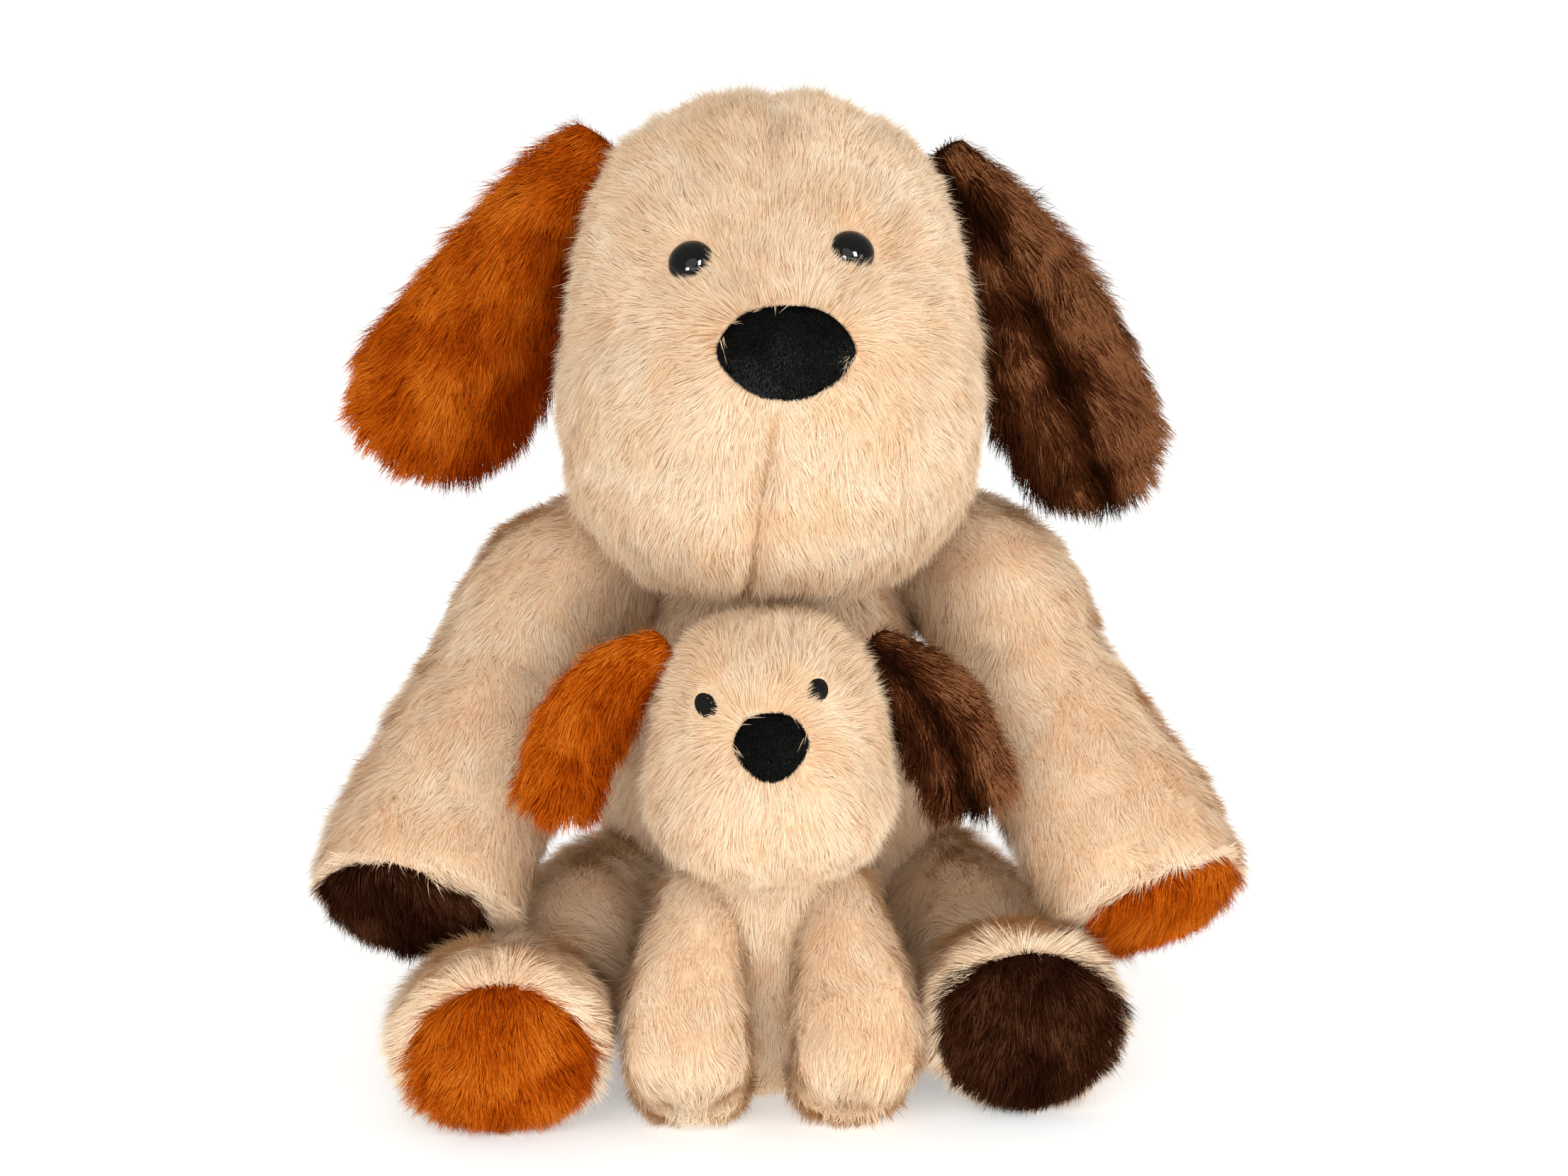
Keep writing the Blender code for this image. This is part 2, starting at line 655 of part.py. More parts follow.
def build_dog():
    across = Vector((1, 0, 0))
    arms = {"right": RIGHT_ARM, "left": LEFT_ARM}
    legs = {"right": RIGHT_LEG, "left": LEFT_LEG}
    ears = {"right": RIGHT_EAR, "left": LEFT_EAR}
    ear_fur = {"right": "orange_fur", "left": "brown_fur"}
    pad_fur = {"right": "brown_fur", "left": "orange_fur"}
    sockets = []
    for limbs in (arms, legs):
        for side in SIDE_NAMES:
            sockets.append((Vector(limbs[side][0][0]), limbs[side][0][1]))
    sockets.append((Vector(TAIL[0][0]), TAIL[0][1]))
    body_room, head_room = build_neck_plug(NECK)
    cover, filling = build_body("", "cream_fur", 0.0, BODY, NECK, NECK_RADIUS, sockets, (),
                                NECK_PLUG_RADIUS + 0.003, (BAG, BAG_TOP))
    cut(filling, body_room)
    head_cover, head_filling = build_head("", "cream_fur", HEAD_X, HEAD, HEAD_BOTTOM, HEAD_TOP, NECK,
                                          NECK_RADIUS, NECK_PLUG_RADIUS + NECK_PLUG_SWING, NECK)
    cut(head_filling, head_room)
    for side in SIDE_NAMES:
        build_safety_eye(side + "_eye", *EYES[side], head_cover, head_filling, NECK)
        ear = ears[side]
        build_ear(side + "_ear", ear_fur[side], ear, EAR_PANEL, EAR_TIP, ear[0][0])
        arm = arms[side]
        build_limb(side + "_arm", "cream_fur", arm, across, arm[0][0], SIDES,
                   (side + "_paw_pad", pad_fur[side], PAW_PAD_SHARE))
        leg = legs[side]
        build_limb(side + "_leg", "cream_fur", leg, across, leg[0][0], SIDES,
                   (side + "_sole_pad", ear_fur[side], SOLE_PAD_SHARE))
    patch("nose_patch", HEAD_X, HEAD, NOSE_ASIDE, NOSE_HEIGHT, NOSE_HALF_WIDTH, NOSE_HALF_HEIGHT, NOSE_DOME,
          "black_velour", NECK, 0.25)
    build_limb("tail", "cream_fur", TAIL, across, TAIL[0][0], SMALL_SIDES, end_depth=0.010)
    build_label("care_label", (-0.020, 0.0605, 0.062), "label_satin")


def build_puppy():
    across = Vector((1, 0, 0))
    signs = {"right": -1, "left": 1}
    ears = {"right": PUPPY_RIGHT_EAR, "left": PUPPY_LEFT_EAR}
    ear_fur = {"right": "orange_fur", "left": "brown_fur"}
    grooves = []
    for side in SIDE_NAMES:
        for spine in (PUPPY_FRONT_LEG, PUPPY_HIND_LEG):
            grooves.append(placed(spine, PUPPY_X, signs[side]))
    sockets = [(Vector(PUPPY_TAIL[0][0]), PUPPY_TAIL[0][1])]
    build_body("puppy_", "cream_fur", PUPPY_X, PUPPY_BODY, PUPPY_NECK, PUPPY_NECK_RADIUS, sockets, grooves,
               0.009, (PUPPY_BAG, PUPPY_BAG_TOP))
    build_head("puppy_", "cream_fur", PUPPY_X, PUPPY_HEAD, PUPPY_HEAD_BOTTOM, PUPPY_HEAD_TOP,
               PUPPY_NECK, PUPPY_NECK_RADIUS, 0.010, PUPPY_NECK)
    for side in SIDE_NAMES:
        patch(f"puppy_{side}_eye", PUPPY_X, PUPPY_HEAD, *PUPPY_EYES[side], PUPPY_EYE_RADIUS,
              PUPPY_EYE_RADIUS, PUPPY_EYE_DOME, "black_thread", PUPPY_NECK)
        ear = placed(ears[side], PUPPY_X)
        build_ear(f"puppy_{side}_ear", ear_fur[side], ear, PUPPY_EAR_PANEL, PUPPY_EAR_TIP, ear[0][0])
        for leg_name, spine in (("front_leg", PUPPY_FRONT_LEG), ("hind_leg", PUPPY_HIND_LEG)):
            leg = placed(spine, PUPPY_X, signs[side])
            build_limb(f"puppy_{side}_{leg_name}", "cream_fur", leg, across, leg[0][0], SMALL_SIDES,
                       end_depth=PUPPY_TOE)
    patch("puppy_nose_patch", PUPPY_X, PUPPY_HEAD, 0.0, PUPPY_NOSE_HEIGHT, PUPPY_NOSE_HALF_WIDTH,
          PUPPY_NOSE_HALF_HEIGHT, PUPPY_NOSE_DOME, "black_velour", PUPPY_NECK, 0.5)
    build_limb("puppy_tail", "cream_fur", PUPPY_TAIL, across, PUPPY_TAIL[0][0], SMALL_SIDES,
               end_depth=0.005)


clear_scene()
build_dog()
build_puppy()
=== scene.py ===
"""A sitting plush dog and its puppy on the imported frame: stuffed skins, pile, pads, eyes and noses.

Metres, +Z up; the dogs face -Y. Right and left are the dog's own: right is -X.
"""
import math

import bpy
import numpy as np
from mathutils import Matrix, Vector
from mathutils.bvhtree import BVHTree


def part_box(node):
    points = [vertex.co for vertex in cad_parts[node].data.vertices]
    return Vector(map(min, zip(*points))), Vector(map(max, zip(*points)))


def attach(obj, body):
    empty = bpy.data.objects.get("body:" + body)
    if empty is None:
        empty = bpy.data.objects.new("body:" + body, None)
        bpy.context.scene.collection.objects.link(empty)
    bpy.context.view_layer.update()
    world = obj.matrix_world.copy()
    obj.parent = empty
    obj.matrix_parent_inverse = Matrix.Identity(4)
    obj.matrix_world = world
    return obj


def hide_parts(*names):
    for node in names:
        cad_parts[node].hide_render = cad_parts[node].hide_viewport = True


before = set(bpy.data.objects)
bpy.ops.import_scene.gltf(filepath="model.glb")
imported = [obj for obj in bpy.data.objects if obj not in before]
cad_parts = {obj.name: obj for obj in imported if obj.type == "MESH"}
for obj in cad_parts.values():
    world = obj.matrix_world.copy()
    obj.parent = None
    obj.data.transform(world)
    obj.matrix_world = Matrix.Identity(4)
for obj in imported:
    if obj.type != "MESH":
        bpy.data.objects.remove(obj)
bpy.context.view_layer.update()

SIDE_NAMES = ("right", "left")
FLOOR_GAP = 0.0004       # no fibre comes lower than this
FACE_FRONT = (0.0, -1.0, 0.0)
COARSE = 0.0060          # spacing of a big skin's points
FINE = 0.0042            # spacing of the puppy's and the tail's

# Camera
CAMERA_AZIMUTH = -1.5
CAMERA_ELEVATION = 12.0
CAMERA_DISTANCE = 1.3
CAMERA_TARGET = Vector((0.0, -0.05, 0.165))
CAMERA_LENS = 85.0


def metres(table):
    """A table's rows of millimetres in metres."""
    return [tuple(round(value / 1000, 6) for value in row) for row in table]


def puppy_side(table, side):
    """A spine in mm from the puppy's middle plane: on its left if side is 1, on its right if -1."""
    return [(PUPPY_X + side * row[0], *row[1:]) for row in metres(table)]


PUPPY_X = -0.007         # the puppy's middle plane

# The skins follow the part's sections and spines, a little fuller or turned for the pile.
# Sections in mm: height, centre y, half width, half depth
HEAD = metres([
    (171, -40, 40, 45), (181, -37, 56, 61), (197, -35, 67, 72), (218, -36, 71, 75),
    (241, -37, 70.5, 77), (261, -34, 68, 76), (283, -24, 64, 66), (302, -16, 57.5, 55),
    (317, -12, 46, 43), (327, -10, 29, 28),
])
HEAD_X = -0.0045
HEAD_ENDS = ((0.167, -0.034), (0.331, -0.010))
BODY = metres([
    (2, 16, 50, 42), (8, 16, 57, 47), (30, 16, 60, 48), (60, 14, 64, 49), (90, 9, 60, 48),
    (120, 5, 49, 44), (150, 0, 42, 39), (166, -2, 34, 33),
])
BODY_ENDS = ((0.001, 0.016), (0.176, -0.002))
PUPPY_HEAD = metres([
    (86, -122, 20, 20), (93, -122, 31, 31), (105, -122, 37.5, 40), (119, -121, 38.5, 42),
    (132, -118, 37, 40), (144, -114, 34, 36), (154, -111, 29, 30), (162, -109, 21, 21),
])
PUPPY_HEAD_ENDS = ((0.082, -0.122), (0.166, -0.109))
PUPPY_BODY = metres([
    (2, -84, 32, 27), (5, -84, 34, 30), (22, -84, 37, 32), (42, -86, 37, 31), (58, -90, 35, 29),
    (70, -95, 29, 25), (82, -98, 24, 22),
])
PUPPY_BODY_ENDS = ((0.001, -0.084), (0.090, -0.099))

# Limbs in mm: spine points with half width and half height
RIGHT_ARM = metres([
    (-61, 13, 162, 25.5, 25.5), (-79.5, -2, 156, 28, 28), (-96.5, -31, 126.5, 30, 28.5),
    (-112, -62, 100, 33, 27.5), (-123, -83, 80.5, 34.5, 27.5), (-127, -97.2, 69.2, 34, 27.5),
])
LEFT_ARM = metres([
    (61, 13, 163, 25.5, 25.5), (75, -2, 156, 27.5, 28.5), (89.5, -31, 125.5, 28.5, 28.5),
    (106, -62, 98.5, 32, 27.5), (116.5, -82, 81, 34, 27.5), (123.5, -96, 67.2, 34, 28),
])
RIGHT_LEG = metres([
    (-60, -10, 36, 25.5, 27.5), (-77, -50, 34, 25.5, 27), (-89, -83, 25.5, 29, 20.5),
    (-96, -114, 29, 34, 25.5), (-97.5, -133, 32, 35.5, 29), (-97.5, -148, 31.5, 34, 28),
])
LEFT_LEG = metres([
    (59, -10, 36, 25.5, 27.5), (71, -42, 33, 25.5, 27), (75, -70, 24.5, 26.5, 19),
    (77.5, -98, 29, 31, 25), (78.5, -116, 32.5, 33, 29.5), (78.5, -131, 33, 32.5, 29),
])
TAIL = metres([
    (0, 70, 26, 12, 12), (4, 94, 30, 12.5, 12.5), (10, 114, 40, 11, 11),
])
PUPPY_TAIL = puppy_side([(0, -54, 18, 6, 6), (1, -46.5, 22, 5, 5)], 1)
# The puppy's legs, for either side
PUPPY_FRONT_LEG = [
    (23, -106, 68, 12.5, 12.5), (26, -123, 52, 17, 15), (28.5, -140, 34.5, 20.5, 16.5),
    (28.5, -150.5, 25, 20, 15),
]
PUPPY_HIND_LEG = [
    (23, -92, 15, 10.5, 10), (25, -110, 11, 16, 9.5), (26.2, -126, 9.5, 19, 8),
    (26.2, -136.5, 9, 17.5, 7.5),
]

# Ears in mm: spine points with half width and half thickness
RIGHT_EAR = metres([
    (-62, -6, 313.5, 15, 3.5), (-80, -10, 294, 19.2, 3.5), (-98, -15, 265, 26.5, 3.5),
    (-108.5, -18, 247.5, 30, 3.5), (-120, -20, 231, 32, 3.5),
])
LEFT_EAR = metres([
    (55.5, -6, 309, 13, 3.5), (74, -10, 288, 17, 3.5), (92.5, -15, 254.5, 24, 3.5),
    (100.5, -18, 233, 27, 3.5), (108, -20, 214.5, 26.5, 3.5),
])
PUPPY_RIGHT_EAR = puppy_side([
    (35, -110, 157, 7.5, 2.4), (48, -112, 149, 12, 2.4), (62, -114, 131, 15.5, 2.4),
    (71, -116, 108, 14.5, 2.4),
], -1)
PUPPY_LEFT_EAR = puppy_side([
    (35, -110, 157, 8, 2.4), (46, -112, 148, 12.5, 2.4), (60, -114, 130, 16, 2.4), (68, -116, 110, 15, 2.4),
], 1)

# Fibre colours, darkest to lightest: a fibre's tone picks one, and its root part takes the next darker one
# as painted shade deep in the pile
FIBRES = {
    "cream": [(0.83, 0.54, 0.315), (0.87, 0.625, 0.405), (0.90, 0.69, 0.48), (0.94, 0.785, 0.59)],
    "orange": [(0.18, 0.020, 0.0007), (0.35, 0.052, 0.0018), (0.49, 0.092, 0.004), (0.64, 0.165, 0.013)],
    "brown": [(0.009, 0.003, 0.001), (0.033, 0.009, 0.003), (0.080, 0.024, 0.008), (0.250, 0.098, 0.040)],
    "dark_brown": [
        (0.006, 0.002, 0.001), (0.018, 0.005, 0.002), (0.034, 0.010, 0.004), (0.090, 0.034, 0.016),
    ],
    "black": [(0.002, 0.002, 0.002), (0.006, 0.006, 0.006), (0.014, 0.014, 0.014), (0.040, 0.041, 0.044)],
}
# Pile: fibre, fibres per mm2, length, width, how far it stands up (0 to 1), how far the tufts pull together
# and how far the lay swirls
PILE_FIELDS = ("fibre", "density", "length", "width", "lift", "tuft", "swirl")
PILES = {
    "cream": ("cream", 2.7, 0.0090, 0.00021, 0.62, 0.38, 0.42),
    "orange_ear": ("orange", 2.8, 0.0105, 0.00023, 0.58, 0.36, 0.35),
    "brown_ear": ("brown", 2.8, 0.0120, 0.00023, 0.60, 0.42, 0.4),
    "orange_pad": ("orange", 3.2, 0.0090, 0.00022, 0.68, 0.34, 0.4),
    "brown_pad": ("dark_brown", 3.2, 0.0090, 0.00022, 0.68, 0.34, 0.4),
    "velour": ("black", 5.0, 0.0013, 0.00020, 0.75, 0.10, 0.3),
}
FIBRE_BENDS = 2          # straight parts of one fibre
PIECE_FIBRES = 60000     # fibres in one piece of pile
FLYAWAY = 0.05           # share of fibres that stand out of the pile
TONE_STEPS = (-0.9, -0.22, 0.32)     # where a fibre's random tone passes to the next lighter colour

# Cloth: the skins are inflated for this many frames
PUFF_FRAMES = 12
CLOTH = {
    "quality": 4, "mass": 0.15, "tension_stiffness": 12, "compression_stiffness": 12,
    "bending_stiffness": 0.2, "use_pressure": True, "uniform_pressure_force": 3.0,
    "vertex_group_mass": "seams",
}

# Face. The big eyes: aside from the head's middle, and height
BIG_EYES = {"right": (-0.0275, 0.2835), "left": (0.0265, 0.2865)}
EYE_PROFILE = [
    (-0.014, 0.0), (-0.014, 0.0022), (-0.001, 0.0022), (-0.0006, 0.0070), (0.0, 0.0078), (0.0014, 0.0078),
    (0.0030, 0.0072), (0.0044, 0.0061), (0.0054, 0.0046), (0.0061, 0.0028), (0.0063, 0.0011), (0.00635, 0.0),
]
CHIN_TOP = 0.246         # height where the chin seam starts, under the nose
CHIN_SLANT = 0.12        # how far the seam runs aside as it goes down


# ---- numbers

def noise(points, size, seed):
    """Smooth random vectors, each number from -1 to 1, that change over this size."""
    grid = points / size + 512.0
    cell = np.floor(grid).astype(np.uint64)
    part = grid - np.floor(grid)
    part = part * part * (3 - 2 * part)
    total = np.zeros_like(grid)
    for corner in np.ndindex(2, 2, 2):
        shifted = cell + np.array(corner, dtype=np.uint64)
        key = shifted[:, 0] * np.uint64(73856093) ^ shifted[:, 1] * np.uint64(19349663)
        key = key ^ shifted[:, 2] * np.uint64(83492791) ^ np.uint64(seed * 7919 + 1)
        weight = np.where(corner, part, 1 - part).prod(axis=1)
        total += weight[:, None] * hashed(key)
    return total


def hashed(key):
    """Three random numbers from -1 to 1 for each key."""
    mask = np.uint64(0xFFFFFFFF)
    key = key & mask
    columns = []
    for _ in range(3):
        key = (key ^ (key >> np.uint64(15))) * np.uint64(0x2C1B3C6D) & mask
        key = (key ^ (key >> np.uint64(12))) * np.uint64(0x297A2D39) & mask
        key = key ^ (key >> np.uint64(15))
        columns.append(key / 2.0 ** 31 - 1.0)
    return np.stack(columns, axis=1)


def unit(vectors):
    """The vectors at length 1."""
    return vectors / np.maximum(np.linalg.norm(vectors, axis=-1, keepdims=True), 1e-9)


def smooth_rows(table, spacing):
    """Rows at this spacing on a smooth curve through the table's."""
    rows = np.array(table, dtype=float)
    gap = np.linalg.norm(np.diff(rows, axis=0), axis=1)
    place = np.concatenate([[0.0], np.cumsum(gap)])
    slope = np.gradient(rows, place, axis=0)
    wanted = np.linspace(0.0, place[-1], max(round(place[-1] / spacing), 4) + 1)
    part = np.clip(np.searchsorted(place, wanted, side="right") - 1, 0, len(rows) - 2)
    width = gap[part][:, None]
    t = (wanted - place[part])[:, None] / width
    return (
        (2 * t ** 3 - 3 * t ** 2 + 1) * rows[part]
        + (t ** 3 - 2 * t ** 2 + t) * width * slope[part]
        + (3 * t ** 2 - 2 * t ** 3) * rows[part + 1]
        + (t ** 3 - t ** 2) * width * slope[part + 1]
    )


def bump(values, centre, width):
    """A soft hill of height 1 round the centre."""
    return np.exp(-((values - centre) / width) ** 2)


def twin(values, centre, width):
    """Two such hills, one on each side of 0."""
    return bump(values, centre, width) + bump(values, -centre, width)


# ---- materials

def put(node, **values):
    """Sets a node's inputs; their names have _ for a space."""
    for name, value in values.items():
        node.inputs[name.replace("_", " ")].default_value = value


def textured(name, roughness):
    """A new material, its shader, nodes and links, and its place output."""
    made, shader = principled(name)
    put(shader, Roughness=roughness)
    nodes = made.node_tree.nodes
    place = nodes.new("ShaderNodeTexCoord").outputs["Object"]
    return made, shader, nodes, made.node_tree.links, place


def principled(name):
    """A new material and its shader."""
    made = bpy.data.materials.new(name)
    made.use_nodes = True
    return made, made.node_tree.nodes["Principled BSDF"]


def fibre_materials(kind):
    """The four materials of one fibre's colours, darkest first; root parts take a darker one as painted
    shade.
    """
    shine = 0.08 if kind == "cream" else 0.0
    names = [f"{kind}_fibre_{index}" for index in range(len(FIBRES[kind]))]
    return [bpy.data.materials.get(name) or plain(name, colour, 0.9, shine)
            for name, colour in zip(names, FIBRES[kind])]


def follow(made, shader, value, low, high, distance):
    """Colour and a fine bump that follow a pattern's value; gives both nodes."""
    nodes, links = made.node_tree.nodes, made.node_tree.links
    ramp = nodes.new("ShaderNodeValToRGB")
    ramp.color_ramp.elements[0].color = (*low, 1)
    ramp.color_ramp.elements[1].color = (*high, 1)
    rise = nodes.new("ShaderNodeBump")
    put(rise, Distance=distance)
    links.new(value, ramp.inputs["Fac"])
    links.new(ramp.outputs["Color"], shader.inputs["Base Color"])
    links.new(value, rise.inputs["Height"])
    links.new(rise.outputs["Normal"], shader.inputs["Normal"])
    return ramp, rise


def patterned(name, low, high, scale, roughness, bump_height, specular=0.3):
    """Colour between two that varies over a noise, with a fine bump."""
    made, shader, nodes, links, place = textured(name, roughness)
    texture = nodes.new("ShaderNodeTexNoise")
    put(texture, Scale=scale, Detail=6.0)
    links.new(place, texture.inputs["Vector"])
    ramp, rise = follow(made, shader, texture.outputs["Fac"], low, high, bump_height)
    ramp.color_ramp.elements[0].position = 0.35
    ramp.color_ramp.elements[1].position = 0.65
    put(rise, Strength=0.6)
    put(shader, Specular_IOR_Level=specular)
    return made


def woven(name, colour, dark, scale, roughness):
    """A woven cloth: two crossed sets of threads."""
    made, shader, nodes, links, place = textured(name, roughness)
    crossed = nodes.new("ShaderNodeMath")
    crossed.operation = "MAXIMUM"
    for number, direction in enumerate("XZ"):
        wave = nodes.new("ShaderNodeTexWave")
        wave.bands_direction = direction
        put(wave, Scale=scale, Distortion=0.6)
        links.new(place, wave.inputs["Vector"])
        links.new(wave.outputs["Fac"], crossed.inputs[number])
    follow(made, shader, crossed.outputs["Value"], dark, colour, 0.0002)
    return made


def plain(name, colour, roughness, specular):
    """A material of one colour."""
    made, shader = principled(name)
    put(shader, Base_Color=(*colour, 1), Roughness=roughness, Specular_IOR_Level=specular)
    return made


BACKING = {
    "cream": patterned("cream_backing", (0.88, 0.68, 0.46), (0.92, 0.74, 0.53), 160, 1.0, 0.0006),
    "orange": patterned("orange_backing", (0.20, 0.026, 0.001), (0.34, 0.055, 0.002), 160, 1.0, 0.0006, 0.0),
    "brown": patterned("brown_backing", (0.010, 0.004, 0.002), (0.030, 0.009, 0.003), 160, 1.0, 0.0006, 0.0),
}
VELOUR = patterned("black_velour_cloth", (0.003, 0.003, 0.003), (0.008, 0.008, 0.007), 900, 1.0, 0.0003, 0.0)
THREAD = patterned("black_stitching", (0.003, 0.003, 0.003), (0.012, 0.011, 0.010), 1500, 0.7, 0.0002, 0.1)
BEAD = plain("black_plastic_bead", (0.001, 0.001, 0.001), 0.05, 0.18)
WASHER = patterned("white_washer_plastic", (0.74, 0.74, 0.72), (0.80, 0.80, 0.78), 300, 0.4, 0.0001)
BAG_CLOTH = woven("bag_calico", (0.78, 0.76, 0.70), (0.60, 0.58, 0.52), 260, 0.9)
SATIN = woven("label_satin_weave", (0.86, 0.85, 0.82), (0.74, 0.73, 0.70), 420, 0.35)


# ---- surfaces

def set_points(mesh, points):
    """Moves a mesh's points."""
    mesh.vertices.foreach_set("co", points.astype(np.float32).ravel())
    mesh.update()


def linked(name, data):
    """A new object in the scene."""
    made = bpy.data.objects.new(name, data)
    bpy.context.collection.objects.link(made)
    return made


def mesh_object(name, points, faces, materials):
    """A smooth mesh object in the scene."""
    mesh = bpy.data.meshes.new(name)
    mesh.from_pydata([tuple(point) for point in points], [], faces)
    for each in materials:
        mesh.materials.append(each)
    mesh.shade_smooth()
    return linked(name, mesh)


def loft(name, rings, start, end, material):
    """A closed surface through rings of points, with a pole at each end."""
    steps, sides = rings.shape[:2]
    points = np.vstack([rings.reshape(-1, 3), start, end])
    first, last = steps * sides, steps * sides + 1
    faces = []
    for step in range(steps - 1):
        for side in range(sides):
            after = (side + 1) % sides
            near, far = step * sides, (step + 1) * sides
            faces.append((near + side, near + after, far + after, far + side))
    for side in range(sides):
        after = (side + 1) % sides
        top = (steps - 1) * sides
        faces.append((first, after, side))
        faces.append((top + side, top + after, last))
    return mesh_object(name, points, faces, [material])


def upright(name, sections, ends, x, spacing, material, reshape=None):
    """A skin from level sections, bottom to top."""
    (low_z, low_y), (high_z, high_y) = ends
    rows = smooth_rows(capped(sections, ends), spacing)
    widest = rows[:, 2].max() + rows[:, 3].max()
    sides = 4 * round(math.pi * widest / spacing / 4)
    angle = np.linspace(0, 2 * math.pi, sides, endpoint=False)
    rings = np.zeros((len(rows), sides, 3))
    rings[..., 0] = x + rows[:, 2, None] * np.cos(angle)
    rings[..., 1] = rows[:, 1, None] + rows[:, 3, None] * np.sin(angle)
    rings[..., 2] = rows[:, 0, None]
    if reshape:
        rings = reshape(rings.reshape(-1, 3)).reshape(rings.shape)
    return loft(name, rings, (x, low_y, low_z), (x, high_y, high_z), material)


def capped(sections, ends):
    """The sections with rounded rows added towards each pole."""
    def rounded(row, end, turns):
        for turn in turns:
            rise, reach = 1 - math.cos(math.radians(turn)), math.sin(math.radians(turn))
            yield (end[0] + (row[0] - end[0]) * rise, end[1] + (row[1] - end[1]) * rise,
                   row[2] * reach, row[3] * reach)

    return [*rounded(sections[0], ends[0], (18, 40, 65)), *sections,
            *rounded(sections[-1], ends[1], (65, 40, 18))]


def spine_axes(points):
    """Unit vectors along, across and up at each point of a spine."""
    along = unit(np.gradient(points, axis=0))
    across = np.array([1.0, 0.0, 0.0])
    width = unit(across - along * (along @ across)[:, None])
    return along, width, np.cross(along, width)


def across_spine(points, rows, axis):
    """Each point's nearest row, and its distance from it along the row's axis."""
    nearest = np.argmin(((points[:, None, :] - rows[None, :, :3]) ** 2).sum(axis=2), axis=1)
    return nearest, ((points - rows[nearest, :3]) * axis[nearest]).sum(axis=1)


def limb(name, spine, end_depth, spacing, material, square_end=0.5, bend=None):
    """A skin along a spine, with a ball at its start and a rounded end."""
    rows = smooth_rows(spine, spacing)
    along, width, height = spine_axes(rows[:, :3])
    widest = (rows[:, 3] + rows[:, 4]).max()
    sides = 4 * max(round(math.pi * widest / spacing / 4), 3)
    angle = np.linspace(0, 2 * math.pi, sides, endpoint=False)
    circle = np.stack([np.cos(angle), np.sin(angle)], axis=1)
    rings = []

    def add(centre, row, size):
        offset = width[row] * circle[:, :1] * rows[row, 3] + height[row] * circle[:, 1:] * rows[row, 4]
        rings.append(centre + offset * size)

    radius = min(rows[0, 3], rows[0, 4])
    for turn in (20, 45, 70):
        back = along[0] * radius * math.cos(math.radians(turn))
        add(rows[0, :3] - back, 0, math.sin(math.radians(turn)))
    for row in range(len(rows)):
        add(rows[row, :3], row, 1.0)
    for turn in (25, 50, 72, 84):
        ahead = along[-1] * end_depth * math.sin(math.radians(turn))
        add(rows[-1, :3] + ahead, len(rows) - 1, math.cos(math.radians(turn)) ** square_end)
    rings = np.array(rings)
    start = rows[0, :3] - along[0] * radius
    end = rows[-1, :3] + along[-1] * end_depth
    if bend:
        poles = bend(np.vstack([rings.reshape(-1, 3), start, end]))
        rings, start, end = poles[:-2].reshape(rings.shape), poles[-2], poles[-1]
    return loft(name, rings, start, end, material)


# ---- cloth

def puff(skins, cap):
    """Inflates skins as cloth between their seams; no point moves further than the cap."""
    for skin, on_seam in skins:
        group = skin.vertex_groups.new(name="seams")
        group.add(np.nonzero(on_seam(vertex_array(skin.data, "co")))[0].tolist(), 1.0, "REPLACE")
        cloth = skin.modifiers.new("stuffed", "CLOTH")
        for field, value in CLOTH.items():
            setattr(cloth.settings, field, value)
        cloth.settings.effector_weights.gravity = 0
        cloth.point_cache.frame_end = PUFF_FRAMES
    for number in range(1, PUFF_FRAMES + 1):
        bpy.context.scene.frame_set(number)
    graph = bpy.context.evaluated_depsgraph_get()
    for skin, _ in skins:
        solved = vertex_array(skin.evaluated_get(graph).data, "co")
        before = vertex_array(skin.data, "co")
        move = solved - before
        length = np.linalg.norm(move, axis=1, keepdims=True)
        move *= cap * np.tanh(length / cap) / np.maximum(length, 1e-9)
        after = before + move
        after[:, 2] = np.maximum(after[:, 2], np.minimum(before[:, 2], 0.001))
        skin.modifiers.clear()
        set_points(skin.data, after)
    bpy.context.scene.frame_set(1)


def vertex_array(mesh, kind):
    """One row of numbers for each of a mesh's points."""
    found = np.empty(len(mesh.vertices) * 3, dtype=np.float32)
    mesh.vertices.foreach_get(kind, found)
    return found.reshape(-1, 3).astype(float)


def refine(skin, lumpy, reshape=None):
    """Subdivides a skin once, makes it a little uneven, then reshapes it."""
    smoother = skin.modifiers.new("smooth", "SUBSURF")
    smoother.levels = smoother.render_levels = 1
    graph = bpy.context.evaluated_depsgraph_get()
    mesh = bpy.data.meshes.new_from_object(skin.evaluated_get(graph))
    skin.modifiers.clear()
    old, skin.data = skin.data, mesh
    bpy.data.meshes.remove(old)
    moved = vertex_array(mesh, "co")
    lumps = lumpy * noise(moved, 0.024, 71)[:, :1] * vertex_array(mesh, "normal")
    lumps[moved[:, 2] < 0.004] = 0
    moved += lumps
    if reshape:
        moved = reshape(moved)
    set_points(mesh, moved)
    mesh.shade_smooth()


# ---- pile

